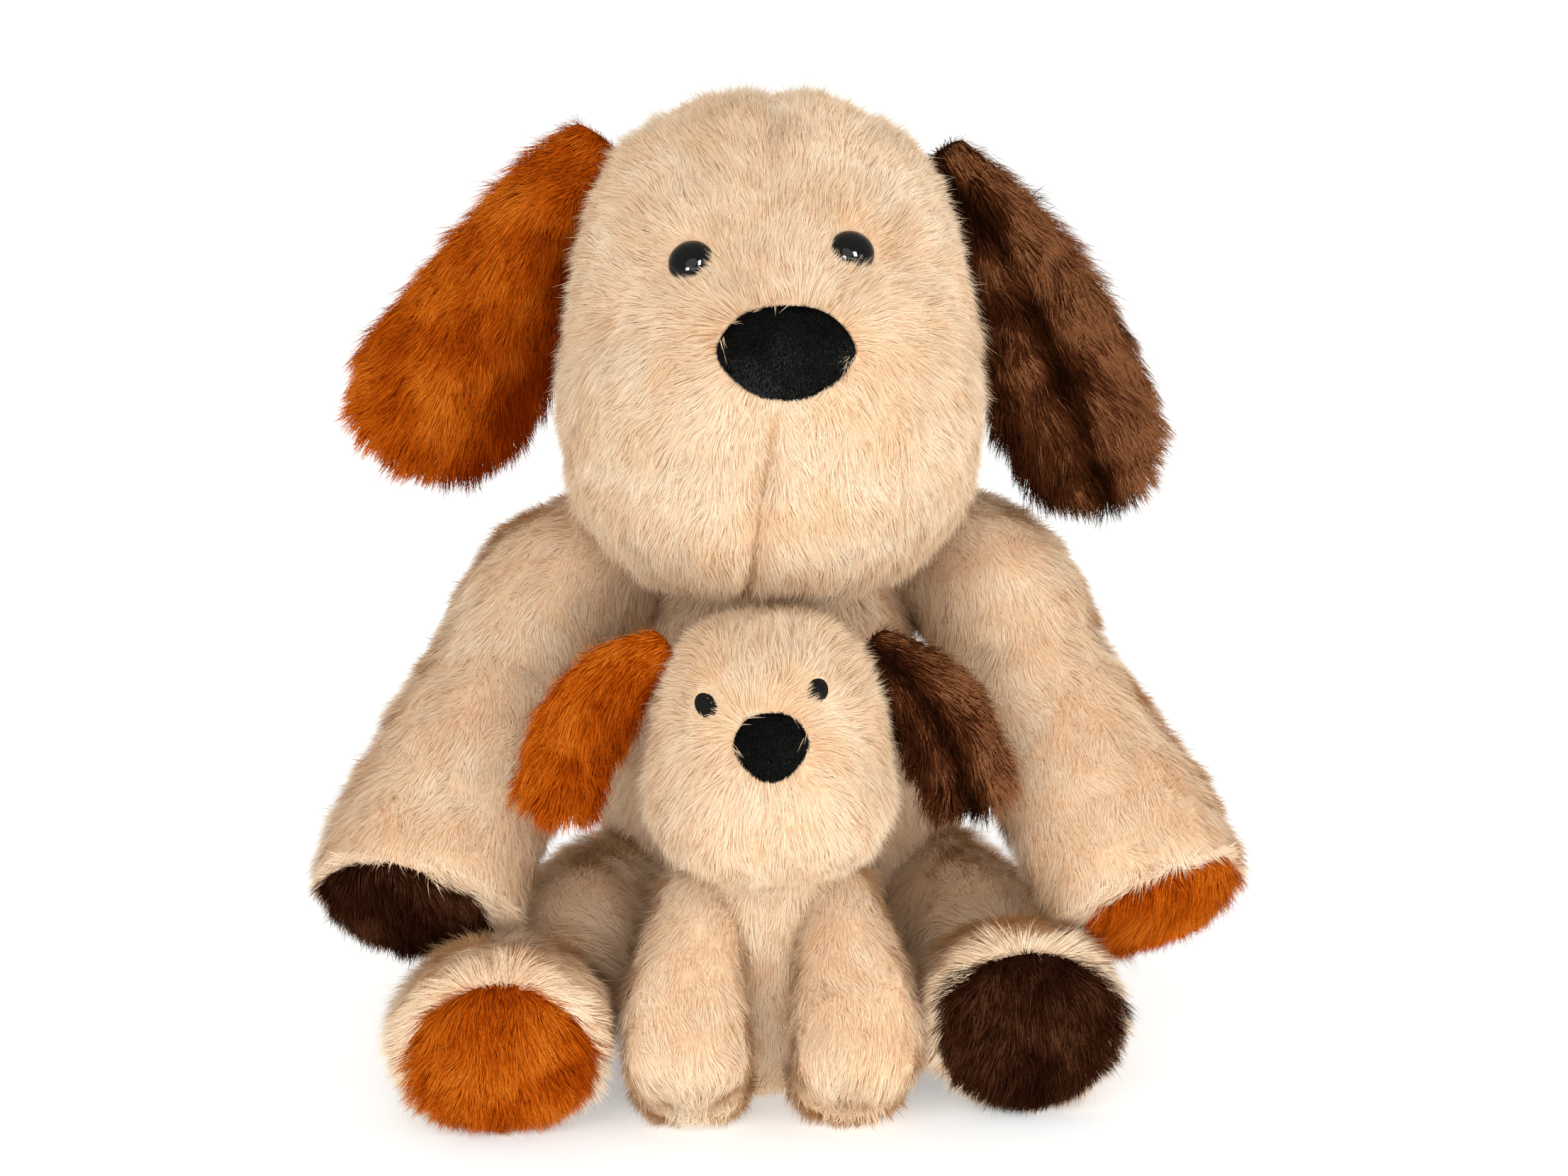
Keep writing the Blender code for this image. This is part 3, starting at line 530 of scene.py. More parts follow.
def scatter(mesh, density, seed):
    """Points spread over a mesh, with their smooth normals."""
    mesh.calc_loop_triangles()
    corners = np.empty(len(mesh.loop_triangles) * 3, dtype=np.int32)
    mesh.loop_triangles.foreach_get("vertices", corners)
    corners = corners.reshape(-1, 3)
    points, normals = vertex_array(mesh, "co"), vertex_array(mesh, "normal")
    a, b, c = (points[corners[:, index]] for index in range(3))
    area = np.linalg.norm(np.cross(b - a, c - a), axis=1) / 2
    rng = np.random.default_rng(seed)
    count = int(area.sum() * 1e6 * density)
    chosen = np.searchsorted(np.cumsum(area) / area.sum(), rng.random(count))
    chosen = np.minimum(chosen, len(area) - 1)
    u, v = rng.random(count), rng.random(count)
    flip = u + v > 1
    u[flip], v[flip] = 1 - u[flip], 1 - v[flip]
    w = 1 - u - v
    picked = corners[chosen]

    def mixed(values):
        return (values[picked[:, 0]] * w[:, None] + values[picked[:, 1]] * u[:, None]
                + values[picked[:, 2]] * v[:, None])

    return mixed(points), unit(mixed(normals)), rng


def grow(skin, body, kind, comb, seed, keep=None, scale=None, shift=None):
    """Pile on a skin: flat tapering fibres laid along the comb; shift makes some darker or lighter, as
    painted shade and painted highlights.
    """
    look = dict(zip(PILE_FIELDS, PILES[kind]))
    density = look["density"] * 1.0
    root, normal, rng = scatter(skin.data, density, seed)
    if keep is not None:
        kept = keep(root, normal)
        root, normal = root[kept], normal[kept]
    count = len(root)
    uneven = 0.30 * noise(root, 0.010, seed + 1)[:, 0] + 0.15 * rng.standard_normal(count)
    length = look["length"] * np.maximum(1 + uneven, 0.3)
    if scale is not None:
        length = length * scale(root)
    fly = rng.random(count) < FLYAWAY
    lift = np.clip(look["lift"] + 0.14 * rng.standard_normal(count) + 0.3 * fly, 0.15, 1.0)
    length = np.where(fly, length * 1.15, length)
    lay = unit(comb(root, normal)) + look["swirl"] * noise(root, 0.016, seed + 6)
    lay = unit(lay - normal * (lay * normal).sum(axis=1, keepdims=True))
    stray = (
        look["tuft"] * noise(root, 0.0055, seed + 2)
        + 0.45 * look["tuft"] * noise(root, 0.0022, seed + 3)
        + 0.07 * rng.standard_normal((count, 3))
    )
    stray -= 0.6 * normal * (stray * normal).sum(axis=1, keepdims=True)
    levels = []
    for step in range(FIBRE_BENDS + 1):
        t = step / FIBRE_BENDS
        up = lift * (t - 0.35 * t * t)
        out = np.sqrt(1 - 0.8 * lift ** 2) * (0.55 * t + 0.45 * t * t)
        level = root + length[:, None] * (normal * up[:, None] + lay * out[:, None] + stray * t ** 1.5)
        level[:, 2] = np.maximum(level[:, 2], FLOOR_GAP)
        levels.append(level)
    width = look["width"] * 1.0
    shade = normal + 0.20 * noise(root, 0.0055, seed + 2) + 0.16 * noise(root, 0.016, seed + 6)
    shade = unit(shade + 0.05 * rng.standard_normal((count, 3)))
    tone = 0.55 * noise(root, 0.012, seed + 4)[:, 0] + 0.30 * noise(root, 0.004, seed + 5)[:, 0]
    tone += 0.25 * rng.standard_normal(count)
    # Painted shade and painted highlights, where a shift is given.
    if shift is not None:
        tone += shift(root)
    slot = np.searchsorted(TONE_STEPS, tone, side="right")
    materials = fibre_materials(look["fibre"])
    pieces = -(-count // PIECE_FIBRES)
    for number in range(pieces):
        chosen = slice(number * count // pieces, (number + 1) * count // pieces)
        name = f"{skin.name}_pile" + (f"_{number + 1}" if pieces > 1 else "")
        parts = [level[chosen] for level in levels]
        made = ribbons(name, parts, normal[chosen], shade[chosen], slot[chosen], width, materials)
        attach(made, body)


def ribbons(name, levels, normal, shade, slot, width, materials):
    """One mesh of flat fibres that end in a point, lit like the skin; each root part is one colour darker,
    as painted shade.
    """
    count, bends = len(normal), len(levels) - 1
    per = 2 * bends + 1
    points = np.empty((count, per, 3), dtype=np.float32)
    for step in range(bends):
        side = unit(np.cross(levels[step + 1] - levels[step], normal)) * width * (0.5 - 0.16 * step / bends)
        points[:, 2 * step] = levels[step] - side
        points[:, 2 * step + 1] = levels[step] + side
    points[:, per - 1] = levels[-1]
    pattern, starts = [], []
    for step in range(bends - 1):
        starts.append(len(pattern))
        pattern += [2 * step, 2 * step + 1, 2 * step + 3, 2 * step + 2]
    starts.append(len(pattern))
    pattern += [2 * bends - 2, 2 * bends - 1, 2 * bends]
    corners = (np.arange(count)[:, None] * per + np.array(pattern)).astype(np.int32)
    begin = (np.arange(count)[:, None] * len(pattern) + np.array(starts)).astype(np.int32)
    mesh = bpy.data.meshes.new(name)
    mesh.vertices.add(count * per)
    mesh.loops.add(corners.size)
    mesh.polygons.add(begin.size)
    mesh.vertices.foreach_set("co", points.ravel())
    mesh.loops.foreach_set("vertex_index", corners.ravel())
    mesh.polygons.foreach_set("loop_start", begin.ravel())
    index = np.repeat(slot[:, None], bends, axis=1)
    # Each fibre's root part is one colour darker: painted shade deep in the pile.
    index[:, 0] = np.maximum(index[:, 0] - 1, 0)
    for each in materials:
        mesh.materials.append(each)
    mesh.polygons.foreach_set("material_index", index.astype(np.int32).ravel())
    mesh.update(calc_edges=True)
    mesh.shade_smooth()
    facing = mesh.attributes.new("custom_normal", "FLOAT_VECTOR", "POINT")
    facing.data.foreach_set("vector", np.repeat(shade, per, axis=0).astype(np.float32).ravel())
    return linked(name, mesh)


# ---- combs

def comb_down(root, normal):
    """Downwards and a little out from the middle."""
    out = np.sign(root[:, 0]) * np.minimum(np.abs(root[:, 0]) * 8, 0.35)
    return np.stack([out, np.zeros(len(root)), -np.ones(len(root))], axis=1)


def comb_head(nose, reach):
    """Away from the nose on the face, back over the top, down the sides and the back."""
    def comb(root, normal):
        away = root - np.array(nose)
        away[:, 1] = 0
        above = 1 / (1 + np.exp(-(away[:, 2] / reach - 0.05) * 9))
        near = (np.linalg.norm(away, axis=1) < 0.42 * reach)[:, None]
        turn = np.where(noise(root, 0.0022, 91)[:, :1] > 0.46, -0.3, 1.0)
        lay = unit(away) * (1 - near + near * turn)
        lay[:, 1] = 0.5 * above
        lay[:, 2] -= 0.9 * (1 - above)
        round_back = np.clip((normal[:, 1:2] + 0.45) / 0.6, 0, 1)
        return lay * (1 - round_back) + np.array([0.0, 0.5, -1.0]) * round_back
    return comb


def comb_spine(spine, outward, down=0.0):
    """Along a spine, out from it, and down."""
    rows = smooth_rows(spine, 0.006)[:, :3]
    along, width, _ = spine_axes(rows)

    def comb(root, normal):
        nearest, aside = across_spine(root, rows, width)
        lay = along[nearest] + width[nearest] * np.clip(aside[:, None] * 40, -1, 1) * outward
        lay[:, 2] -= down
        return lay
    return comb


def comb_limb(spine, along, down):
    """Down and along a limb, and outwards round the rim of its end."""
    sides = comb_spine(spine, 0.2, down)
    rows = np.array(spine)
    facing = unit(rows[-1:, :3] - rows[-2:-1, :3])[0]

    def comb(root, normal):
        lay = sides(root, normal) * np.array([along, along, 1.0])
        offset = root - rows[-1, :3]
        offset = unit(offset - (offset @ facing)[:, None] * facing)
        end = np.clip((normal @ facing - 0.25) / 0.4, 0, 1)[:, None]
        return unit(lay) * (1 - end) + (0.75 * offset + np.array([0.0, 0.0, -0.55])) * end
    return comb


def comb_pad(centre):
    """Down, and a little out from a pad's middle."""
    def comb(root, normal):
        lay = (root - np.array(centre)) * 12
        lay[:, 2] -= 0.8
        return lay
    return comb


# ---- patches

def surface(skin):
    """A skin's surface to cast rays at."""
    graph = bpy.context.evaluated_depsgraph_get()
    return BVHTree.FromObject(skin, graph)


def on_circle(centre, across, up, angle, radius):
    """A point of a circle about the centre."""
    return centre + across * (radius * math.cos(angle)) + up * (radius * math.sin(angle))


def patch(name, skin_tree, centre, facing, across, outline, dome, edge, materials, rings=10, sides=48):
    """A domed patch laid on a skin: outline gives its reach at each angle."""
    facing = Vector(facing).normalized()
    across = (Vector(across) - facing * Vector(across).dot(facing)).normalized()
    up = facing.cross(across)
    far = Vector(centre) + facing * 0.05
    points = []
    for ring in range(rings + 1):
        share = ring / rings
        for side in range(sides):
            angle = 2 * math.pi * side / sides
            reach, hit = outline(angle) * share, None
            while hit is None:
                start = on_circle(far, across, up, angle, reach)
                hit = skin_tree.ray_cast(start, -facing)[0]
                reach *= 0.98
            height = edge + dome * math.sqrt(max(1 - share ** 2.6, 0))
            points.append(hit + facing * height)
            if ring == 0:
                break
    rim = points[-sides:]
    points += [point - facing * (edge + 0.0015) for point in rim]
    points.append(points[0] - facing * (dome + 2 * edge + 0.0015))
    faces = []
    for side in range(sides):
        after = (side + 1) % sides
        faces.append((0, 1 + side, 1 + after))
        for ring in range(rings):
            near, far_ring = 1 + ring * sides, 1 + (ring + 1) * sides
            faces.append((near + side, far_ring + side, far_ring + after, near + after))
        bottom = 1 + rings * sides
        faces.append((bottom + side, len(points) - 1, bottom + after))
    return mesh_object(name, points, faces, materials)


def hit_point(skin_tree, centre, facing):
    """Where a line against this facing meets a skin, and the skin's normal there."""
    start = Vector(centre) + Vector(facing).normalized() * 0.05
    point, normal, _, _ = skin_tree.ray_cast(start, -Vector(facing).normalized())
    return point, normal


def turned(name, profile, place, facing, material, sides=40):
    """A turned solid: rows of height and radius about the facing direction."""
    facing = Vector(facing).normalized()
    across = facing.orthogonal().normalized()
    up = facing.cross(across)
    angles = [2 * math.pi * side / sides for side in range(sides)]
    rings = []
    for height, radius in profile[1:-1]:
        middle = Vector(place) + facing * height
        rings.append([on_circle(middle, across, up, angle, radius) for angle in angles])
    start, end = (np.array(Vector(place) + facing * height) for height in (profile[0][0], profile[-1][0]))
    return loft(name, np.array(rings), start, end, material)


def box_middle(node):
    """The middle of a CAD node's box."""
    low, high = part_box(node)
    return [(low[axis] + high[axis]) / 2 for axis in range(3)]


# ---- head shapes

def shape_head(points):
    """Muzzle, brow, eye hollows and cheek creases of the big head."""
    x, y, z = points.T.copy()
    aside = x - HEAD_X
    front = np.clip((-y - 0.030) / 0.05, 0, 1)
    jowl = twin(aside, 0.032, 0.026) * bump(z, 0.222, 0.026)
    bridge = bump(aside, 0.0, 0.022) * bump(z, 0.272, 0.016)
    hollow = (bump(aside, 0.0265, 0.013) * bump(z, 0.2865, 0.011)
              + bump(aside, -0.0275, 0.013) * bump(z, 0.2835, 0.011))
    crease = twin(aside, 0.056, 0.016) * bump(z, 0.262, 0.006)
    y = y - front * (0.0040 * jowl + 0.002 * bridge - 0.0035 * hollow - 0.0030 * crease)
    x = x + np.sign(aside) * 0.0025 * front * bump(np.abs(aside), 0.062, 0.020) * bump(z, 0.222, 0.026)
    return np.stack([x, y, z], axis=1)


def seam_head(points):
    """Narrow seams of the big head, cut after it has been stuffed."""
    x, y, z = points.T.copy()
    front = np.clip((-y - 0.050) / 0.03, 0, 1)
    below = np.clip((CHIN_TOP - z) / 0.008, 0, 1)
    over = np.clip((z - 0.300) / 0.02, 0, 1)
    aside = x - HEAD_X
    chin = np.exp(-((aside + CHIN_SLANT * (CHIN_TOP - z)) / 0.0034) ** 2)
    y = y + 0.0060 * front * below * chin
    z = z - 0.0030 * over * np.exp(-(aside / 0.004) ** 2)
    return np.stack([x, y, z], axis=1)


def shape_puppy_head(points):
    """Muzzle of the puppy's head."""
    x, y, z = points.T.copy()
    aside = x - PUPPY_X
    front = np.clip((-y - 0.118) / 0.03, 0, 1)
    jowl = twin(aside, 0.020, 0.015) * bump(z, 0.114, 0.016)
    y = y - front * 0.003 * jowl
    x = x + np.sign(aside) * 0.002 * bump(z, 0.108, 0.016)
    return np.stack([x, y, z], axis=1)


def fold_ear(spine, side, cup, crease_place, crease_depth, step_back):
    """Bends an ear: its edges cupped back, a crease along it, its inner edge stepped back."""
    rows = smooth_rows(spine, 0.004)
    width = spine_axes(rows[:, :3])[1]

    def bend(points):
        nearest, aside = across_spine(points, rows, width)
        aside = aside / rows[nearest, 3]
        inward = -side * aside
        back = cup * aside ** 2 + crease_depth * bump(inward, crease_place, 0.16)
        back = back + step_back / (1 + np.exp(-(inward - 0.45) / 0.07))
        ends = np.clip(nearest / 8.0, 0, 1)
        moved = points.copy()
        moved[:, 1] += back * ends
        return moved
    return bend


# ---- the dogs

def oval(half_width, half_height, seed=None):
    """An oval's reach at each angle; with a seed, cut by hand and a little uneven."""
    def outline(angle):
        reach = 1 / math.hypot(math.cos(angle) / half_width, math.sin(angle) / half_height)
        if seed is None:
            return reach
        return reach * (1 + 0.025 * math.sin(3 * angle + seed) + 0.02 * math.sin(5 * angle + 2 * seed))
    return outline


def nose_outline(half_width, half_height, point):
    """A wide oval with softly pointed sides that narrows to its lower middle."""
    def outline(angle):
        low = max(-math.sin(angle), 0.0)
        width = half_width * (1 - 0.20 * low ** 1.3)
        power = 2.4 - 0.6 * abs(math.cos(angle)) ** 3
        across, up = abs(math.cos(angle) / width), abs(math.sin(angle) / half_height)
        return (across ** power + up ** power) ** (-1 / power) * (1 + point * low ** 6)
    return outline


def trunk_seams(x):
    """True on the seams down a trunk's middle plane and at its sides."""
    def test(points):
        beside = np.abs(points[:, 1] - points.mean(axis=0)[1])
        return (np.abs(points[:, 0] - x) < 0.0015) | (beside < 0.002)
    return test


def limb_seams(spine):
    """True on the two seams along a limb and round its end."""
    rows = smooth_rows(spine, 0.006)
    height = spine_axes(rows[:, :3])[2]
    last = np.array(spine[-1][:3])
    facing = unit(last - np.array(spine[-2][:3]))

    def test(points):
        _, above = across_spine(points, rows, height)
        return (np.abs(above) < 0.0012) | ((points - last) @ facing > -0.002)
    return test


def build_skins():
    """Every stuffed skin at rest, before its cloth is inflated and its pile grows."""
    cloth = BACKING["cream"]
    made = {}
    for name, (sections, ends, x, spacing, reshape) in TRUNKS.items():
        made[name] = upright(name, sections, ends, x, spacing, cloth, reshape)
    for side, arm, leg in (("right", RIGHT_ARM, RIGHT_LEG), ("left", LEFT_ARM, LEFT_LEG)):
        made[side + "_arm"] = limb(side + "_arm", arm, 0.007, COARSE, cloth, 0.4)
        made[side + "_leg"] = limb(side + "_leg", leg, 0.006, COARSE, cloth, 0.4)
    made["tail"] = limb("tail", TAIL, 0.010, FINE, cloth)
    made["puppy_tail"] = limb("puppy_tail", PUPPY_TAIL, 0.004, 0.003, cloth)
    for side, sign in (("right", -1), ("left", 1)):
        for leg, (spine, end_depth, _) in PUPPY_LEGS.items():
            name = f"puppy_{side}_{leg}"
            made[name] = limb(name, puppy_side(spine, sign), end_depth, FINE, cloth)
    return made


def stuffed_nodes(name):
    """The CAD nodes that a stuffed skin stands for."""
    found = [name + "_cover", name + "_stuffing"]
    if name == "head":
        found.append("neck_stuffing")
    return found


def build_dogs():
    """The stuffed skins, inflated between their seams, each riding its body."""
    made = build_skins()
    puff([(made[name], trunk_seams(row[2])) for name, row in TRUNKS.items()], TRUNK_PUFF)
    puff([(made[name], limb_seams(spine)) for name, spine in LIMBS.items()], LIMB_PUFF)
    for name, skin in made.items():
        refine(skin, LUMPS, seam_head if name == "head" else None)
        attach(skin, name)
        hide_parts(*stuffed_nodes(name))
    return made


# Sections, ends, middle plane, spacing, and the function that shapes them
TRUNKS = {
    "head": (HEAD, HEAD_ENDS, HEAD_X, COARSE, shape_head),
    "body": (BODY, BODY_ENDS, 0.0, COARSE, None),
    "puppy_head": (PUPPY_HEAD, PUPPY_HEAD_ENDS, PUPPY_X, FINE, shape_puppy_head),
    "puppy_body": (PUPPY_BODY, PUPPY_BODY_ENDS, PUPPY_X, FINE, None),
}
LIMBS = {"right_arm": RIGHT_ARM, "left_arm": LEFT_ARM, "right_leg": RIGHT_LEG, "left_leg": LEFT_LEG}
TRUNK_PUFF = 0.0025      # the most that the cloth may move
LIMB_PUFF = 0.0014
LUMPS = 0.0010           # height of the filling's lumps
# Spine, depth of the foot's end and seed of the pile
PUPPY_LEGS = {"front_leg": (PUPPY_FRONT_LEG, 0.009, 719), "hind_leg": (PUPPY_HIND_LEG, 0.008, 718)}
skins = build_dogs()


# ---- pads

def pad_on(name, limb_name, share, shift, kind, seed):
    """A pad on a limb's end: its share of the end's size, and its shift aside and up."""
    rows = np.array(LIMBS[limb_name])
    along = Vector(unit(rows[-1:, :3] - rows[-2:-1, :3])[0])
    across = (Vector((1, 0, 0)) - along * along.x).normalized()
    centre = Vector(rows[-1, :3]) + across * shift[0] + along.cross(across) * shift[1]
    half_width, half_height = rows[-1, 3] * share[0], rows[-1, 4] * share[1]
    outline = oval(half_width, half_height, seed)
    made = patch(name, surface(skins[limb_name]), centre, along, (1, 0, 0), outline, 0.0025, 0.0008,
                 [BACKING[kind.split("_")[0]]], rings=8, sides=40)
    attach(made, limb_name)
    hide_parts(name)
    facing = np.array(along)
    grow(made, limb_name, kind, comb_pad(centre + along * 0.006), seed,
         keep=lambda root, normal: (normal @ facing > 0.1))
    return off_pad(centre, along, half_width, half_height)


def off_pad(centre, along, half_width, half_height):
    """True away from a pad, with a ragged edge, for the limb's own pile."""
    across = np.array([1.0, 0.0, 0.0])
    facing = np.array(along)
    across = across - facing * (across @ facing)
    across /= np.linalg.norm(across)
    up = np.cross(facing, across)

    def keep(root, normal):
        offset = root - np.array(centre)
        inside = (offset @ across / half_width) ** 2 + (offset @ up / half_height) ** 2
        inside = inside < 0.90 + 0.08 * noise(root, 0.004, 17)[:, 0]
        return ~(inside & (offset @ facing > 0.0))
    return keep


PADS = [
    ("right_paw_pad", "right_arm", (0.86, 0.84), (-0.003, -0.001), "brown_pad", 310),
    ("left_paw_pad", "left_arm", (0.86, 0.84), (0.003, -0.001), "orange_pad", 320),
    ("right_sole_pad", "right_leg", (0.86, 0.90), (0.001, -0.003), "orange_pad", 330),
    ("left_sole_pad", "left_leg", (0.92, 0.92), (0.002, -0.002), "brown_pad", 340),
]
bare_limbs = {row[1]: pad_on(*row) for row in PADS}


# ---- noses and eyes

def add_nose(name, head, facing, spare, point, dome, edge, rings, sides, seed):
    """A velour nose, its CAD node's size less a spare rim; gives its middle and reach."""
    low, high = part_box(name)
    middle = box_middle(name)
    reach = ((high[0] - low[0]) / 2 - spare, (high[2] - low[2]) / 2 - spare)
    nose = patch(name, surface(skins[head]), (middle[0], low[1], middle[2]), facing, (1, 0, 0),
                 nose_outline(*reach, point), dome, edge, [VELOUR], rings=rings, sides=sides)
    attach(nose, head)
    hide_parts(name)
    grow(nose, head, "velour", comb_down, seed, keep=lambda root, normal: normal[:, 1] < 0.2)
    return middle, reach


def add_big_eyes():
    """The domed plastic eyes, and where each of them sits."""
    tree = surface(skins["head"])
    beads, places = [], []
    for side in SIDE_NAMES:
        low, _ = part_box(side + "_eye")
        aside, height = BIG_EYES[side]
        point, facing = hit_point(tree, (HEAD_X + aside, low[1], height), FACE_FRONT)
        eye = turned(side + "_eye", EYE_PROFILE, point - facing * 0.0002, facing, BEAD)
        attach(eye, "head")
        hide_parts(side + "_eye")
        beads.append(eye)
        places.append(point)
    return beads, places


def add_puppy_eyes():
    """The stitched eyes, and where each of them sits."""
    tree = surface(skins["puppy_head"])
    places = []
    for side in SIDE_NAMES:
        name = f"puppy_{side}_eye"
        low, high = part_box(name)
        middle = box_middle(name)
        half = (high[2] - low[2]) / 2
        outline = oval(half * 0.95, half * 0.85)
        eye = patch(name, tree, (middle[0], low[1], middle[2]), FACE_FRONT, (1, 0, 0), outline,
                    0.0016, 0.0008, [THREAD], rings=8, sides=32)
        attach(eye, "puppy_head")
        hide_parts(name)
        places.append(middle)
    return places


nose_middle, nose_reach = add_nose(
    "nose_patch", "head", (0, -1, 0.05), spare=0.0005, point=0.05, dome=0.0045, edge=0.0022,
    rings=14, sides=64, seed=400)
puppy_nose_middle, puppy_nose_reach = add_nose(
    "puppy_nose_patch", "puppy_head", FACE_FRONT, spare=0.0, point=0.12, dome=0.003, edge=0.0016,
    rings=12, sides=48, seed=410)
eye_beads, eye_places = add_big_eyes()
puppy_eye_places = add_puppy_eyes()


# ---- ears

# Name, spine, side, pile, depth of the tip, and the values of fold_ear
EARS = [
    ("right_ear", RIGHT_EAR, -1, "orange_ear", 0.029, (0.005, 0.35, 0.001, 0.009)),
    ("left_ear", LEFT_EAR, 1, "brown_ear", 0.024, (0.004, 0.05, 0.0060, 0.002)),
    ("puppy_right_ear", PUPPY_RIGHT_EAR, -1, "orange_ear", 0.006, (0.003, 0.3, 0.0005, 0.002)),
    ("puppy_left_ear", PUPPY_LEFT_EAR, 1, "brown_ear", 0.006, (0.003, 0.1, 0.0015, 0.001)),
]
# Painted shade and highlight of each ear: where the painted shade of its inner lobe starts, how dark it and
# the painted shade along the crease are, how much lighter the rest is as a painted highlight
EAR_SHADE_AND_HIGHLIGHT = {
    "right_ear": (0.50, 1.3, 0.0, 0.0),
    "left_ear": (0.60, 0.5, 1.1, 0.7),
    "puppy_right_ear": (0.60, 0.5, 0.0, 0.2),
    "puppy_left_ear": (0.55, 0.3, 0.9, 0.6),
}


def from_root(spine, size):
    """Fibre length that grows away from an ear's sewn end."""
    start = np.array(spine[0][:3])

    def scale(root):
        away = np.linalg.norm(root - start, axis=1)
        return size * np.clip(0.3 + away / 0.035, 0.3, 1)
    return scale


def painted_ear_shade_and_highlight(spine, side, edge, step, crease, outer_highlight):
    """Tone across an ear: painted shade on its inner side and along its crease, a painted highlight outside.
    """
    rows = smooth_rows(spine, 0.004)
    width = spine_axes(rows[:, :3])[1]

    def shift(root):
        nearest, aside = across_spine(root, rows, width)
        inward = -side * aside / rows[nearest, 3]
        # Painted shade on the inner lobe and along the crease; the return adds the painted highlight
        # outside.
        dark = step / (1 + np.exp(-(inward - edge) / 0.06)) + crease * bump(inward, 0.05, 0.16)
        return outer_highlight / (1 + np.exp((inward + 0.35) / 0.08)) - dark
    return shift


def add_ears():
    """Four folded ears with their pile; each stands for its front and its back panel."""
    for number, (name, spine, sign, kind, tip, fold) in enumerate(EARS):
        cloth = BACKING[kind.split("_")[0]]
        ear = limb(name, spine, tip, 0.0035, cloth, 0.75, fold_ear(spine, sign, *fold))
        refine(ear, 0.0)
        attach(ear, name)
        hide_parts(name + "_front", name + "_back")
        size = 0.75 if name.startswith("puppy") else 1.0
        # The ears' pile tones carry painted shade on the inner lobe and crease, and a painted highlight
        # outside.
        grow(ear, name, kind, comb_spine(spine, 0.5, 0.3), 500 + 10 * number,
             scale=from_root(spine, size), shift=painted_ear_shade_and_highlight(spine, sign, *EAR_SHADE_AND_HIGHLIGHT[name]))


add_ears()


# ---- cream pile

def thin_round(places, radius):
    """Shorter pile round hard trim."""
    def scale(root):
        size = np.ones(len(root))
        for place in places:
            distance = np.linalg.norm(root - np.array(place), axis=1)
            size = np.minimum(size, np.clip(0.35 + (distance - radius) / 0.008, 0.35, 1))
        return size
    return scale


def chin_line(root):
    """1 on the seam that runs from the nose down the chin, 0 away from it."""
    aside = root[:, 0] - HEAD_X + CHIN_SLANT * (CHIN_TOP - root[:, 2])
    below = np.clip((0.244 - root[:, 2]) / 0.006, 0, 1) * np.clip((-root[:, 1] - 0.06) / 0.02, 0, 1)
    return below * np.exp(-(aside / 0.0022) ** 2)


def head_length(scale):
    """Shorter pile round the eyes, over the top seam and in the chin seam."""
    def length(root):
        top = np.clip((root[:, 2] - 0.30) / 0.01, 0, 1) * np.exp(-((root[:, 0] - HEAD_X) / 0.002) ** 2)
        return scale(root) * (1 - 0.35 * top) * (1 - 0.60 * chin_line(root))
    return length


def outside(middle, reach):
    """True away from an upright oval on the face, a little smaller than its reach."""
    def keep(root, normal):
        across = (root[:, 0] - middle[0]) / (reach[0] * 0.90)
        up = (root[:, 2] - middle[2]) / (reach[1] * 0.90)
        return (across ** 2 + up ** 2 > 1) | (root[:, 1] > middle[1] + 0.02)
    return keep


def between(low, high):
    """True between two heights."""
    return lambda root, normal: (root[:, 2] > low) & (root[:, 2] < high)


def all_of(tests):
    """True where every one of the tests holds."""
    return lambda root, normal: np.logical_and.reduce([test(root, normal) for test in tests])


def grow_trunks():
    """The pile of both heads and bodies."""
    # The head's pile is darker along the chin seam: painted shade in the seam.
    grow(skins["head"], "head", "cream", comb_head(nose_middle, 0.06), 600,
         scale=head_length(thin_round(eye_places, 0.0085)),
         keep=all_of([between(NECK[0], math.inf), outside(nose_middle, nose_reach)]),
         shift=lambda root: -chin_line(root))
    grow(skins["body"], "body", "cream", comb_down, 610, keep=between(OFF_FLOOR, NECK[1]))
    shorter = thin_round(puppy_eye_places, 0.0055)
    bare = [outside(puppy_nose_middle, puppy_nose_reach)]
    bare += [outside(place, (0.0036, 0.0036)) for place in puppy_eye_places]
    grow(skins["puppy_head"], "puppy_head", "cream", comb_head(puppy_nose_middle, 0.03), 620,
         scale=lambda root: 0.95 * shorter(root), keep=all_of(bare))
    grow(skins["puppy_body"], "puppy_body", "cream", comb_down, 630, keep=between(OFF_FLOOR, math.inf))


def grow_limbs():
    """The pile of the arms, legs and tails."""
    for number, (name, spine) in enumerate(LIMBS.items()):
        along, down = (1.0, 0.3) if name.endswith("arm") else (0.4, 1.0)
        grow(skins[name], name, "cream", comb_limb(spine, along, down), 640 + 10 * number,
             keep=bare_limbs[name])
    grow(skins["tail"], "tail", "cream", comb_limb(TAIL, 1.0, 0.2), 690)
    grow(skins["puppy_tail"], "puppy_tail", "cream", comb_spine(PUPPY_TAIL, 0.2), 700,
         scale=lambda root: np.full(len(root), 0.6))
    for number, (side, sign) in enumerate((("right", -1), ("left", 1))):
        for leg, (spine, _, seed) in PUPPY_LEGS.items():
            name = f"puppy_{side}_{leg}"
            grow(skins[name], name, "cream", comb_spine(puppy_side(spine, sign), 0.3, 0.2),
                 seed + 7 * number, scale=lambda root: np.full(len(root), 0.85))


OFF_FLOOR = 0.004        # no pile starts lower
NECK = (0.168, 0.172)    # the head's pile starts above the first, the body's below the second
grow_trunks()
grow_limbs()


# ---- label and hard pieces

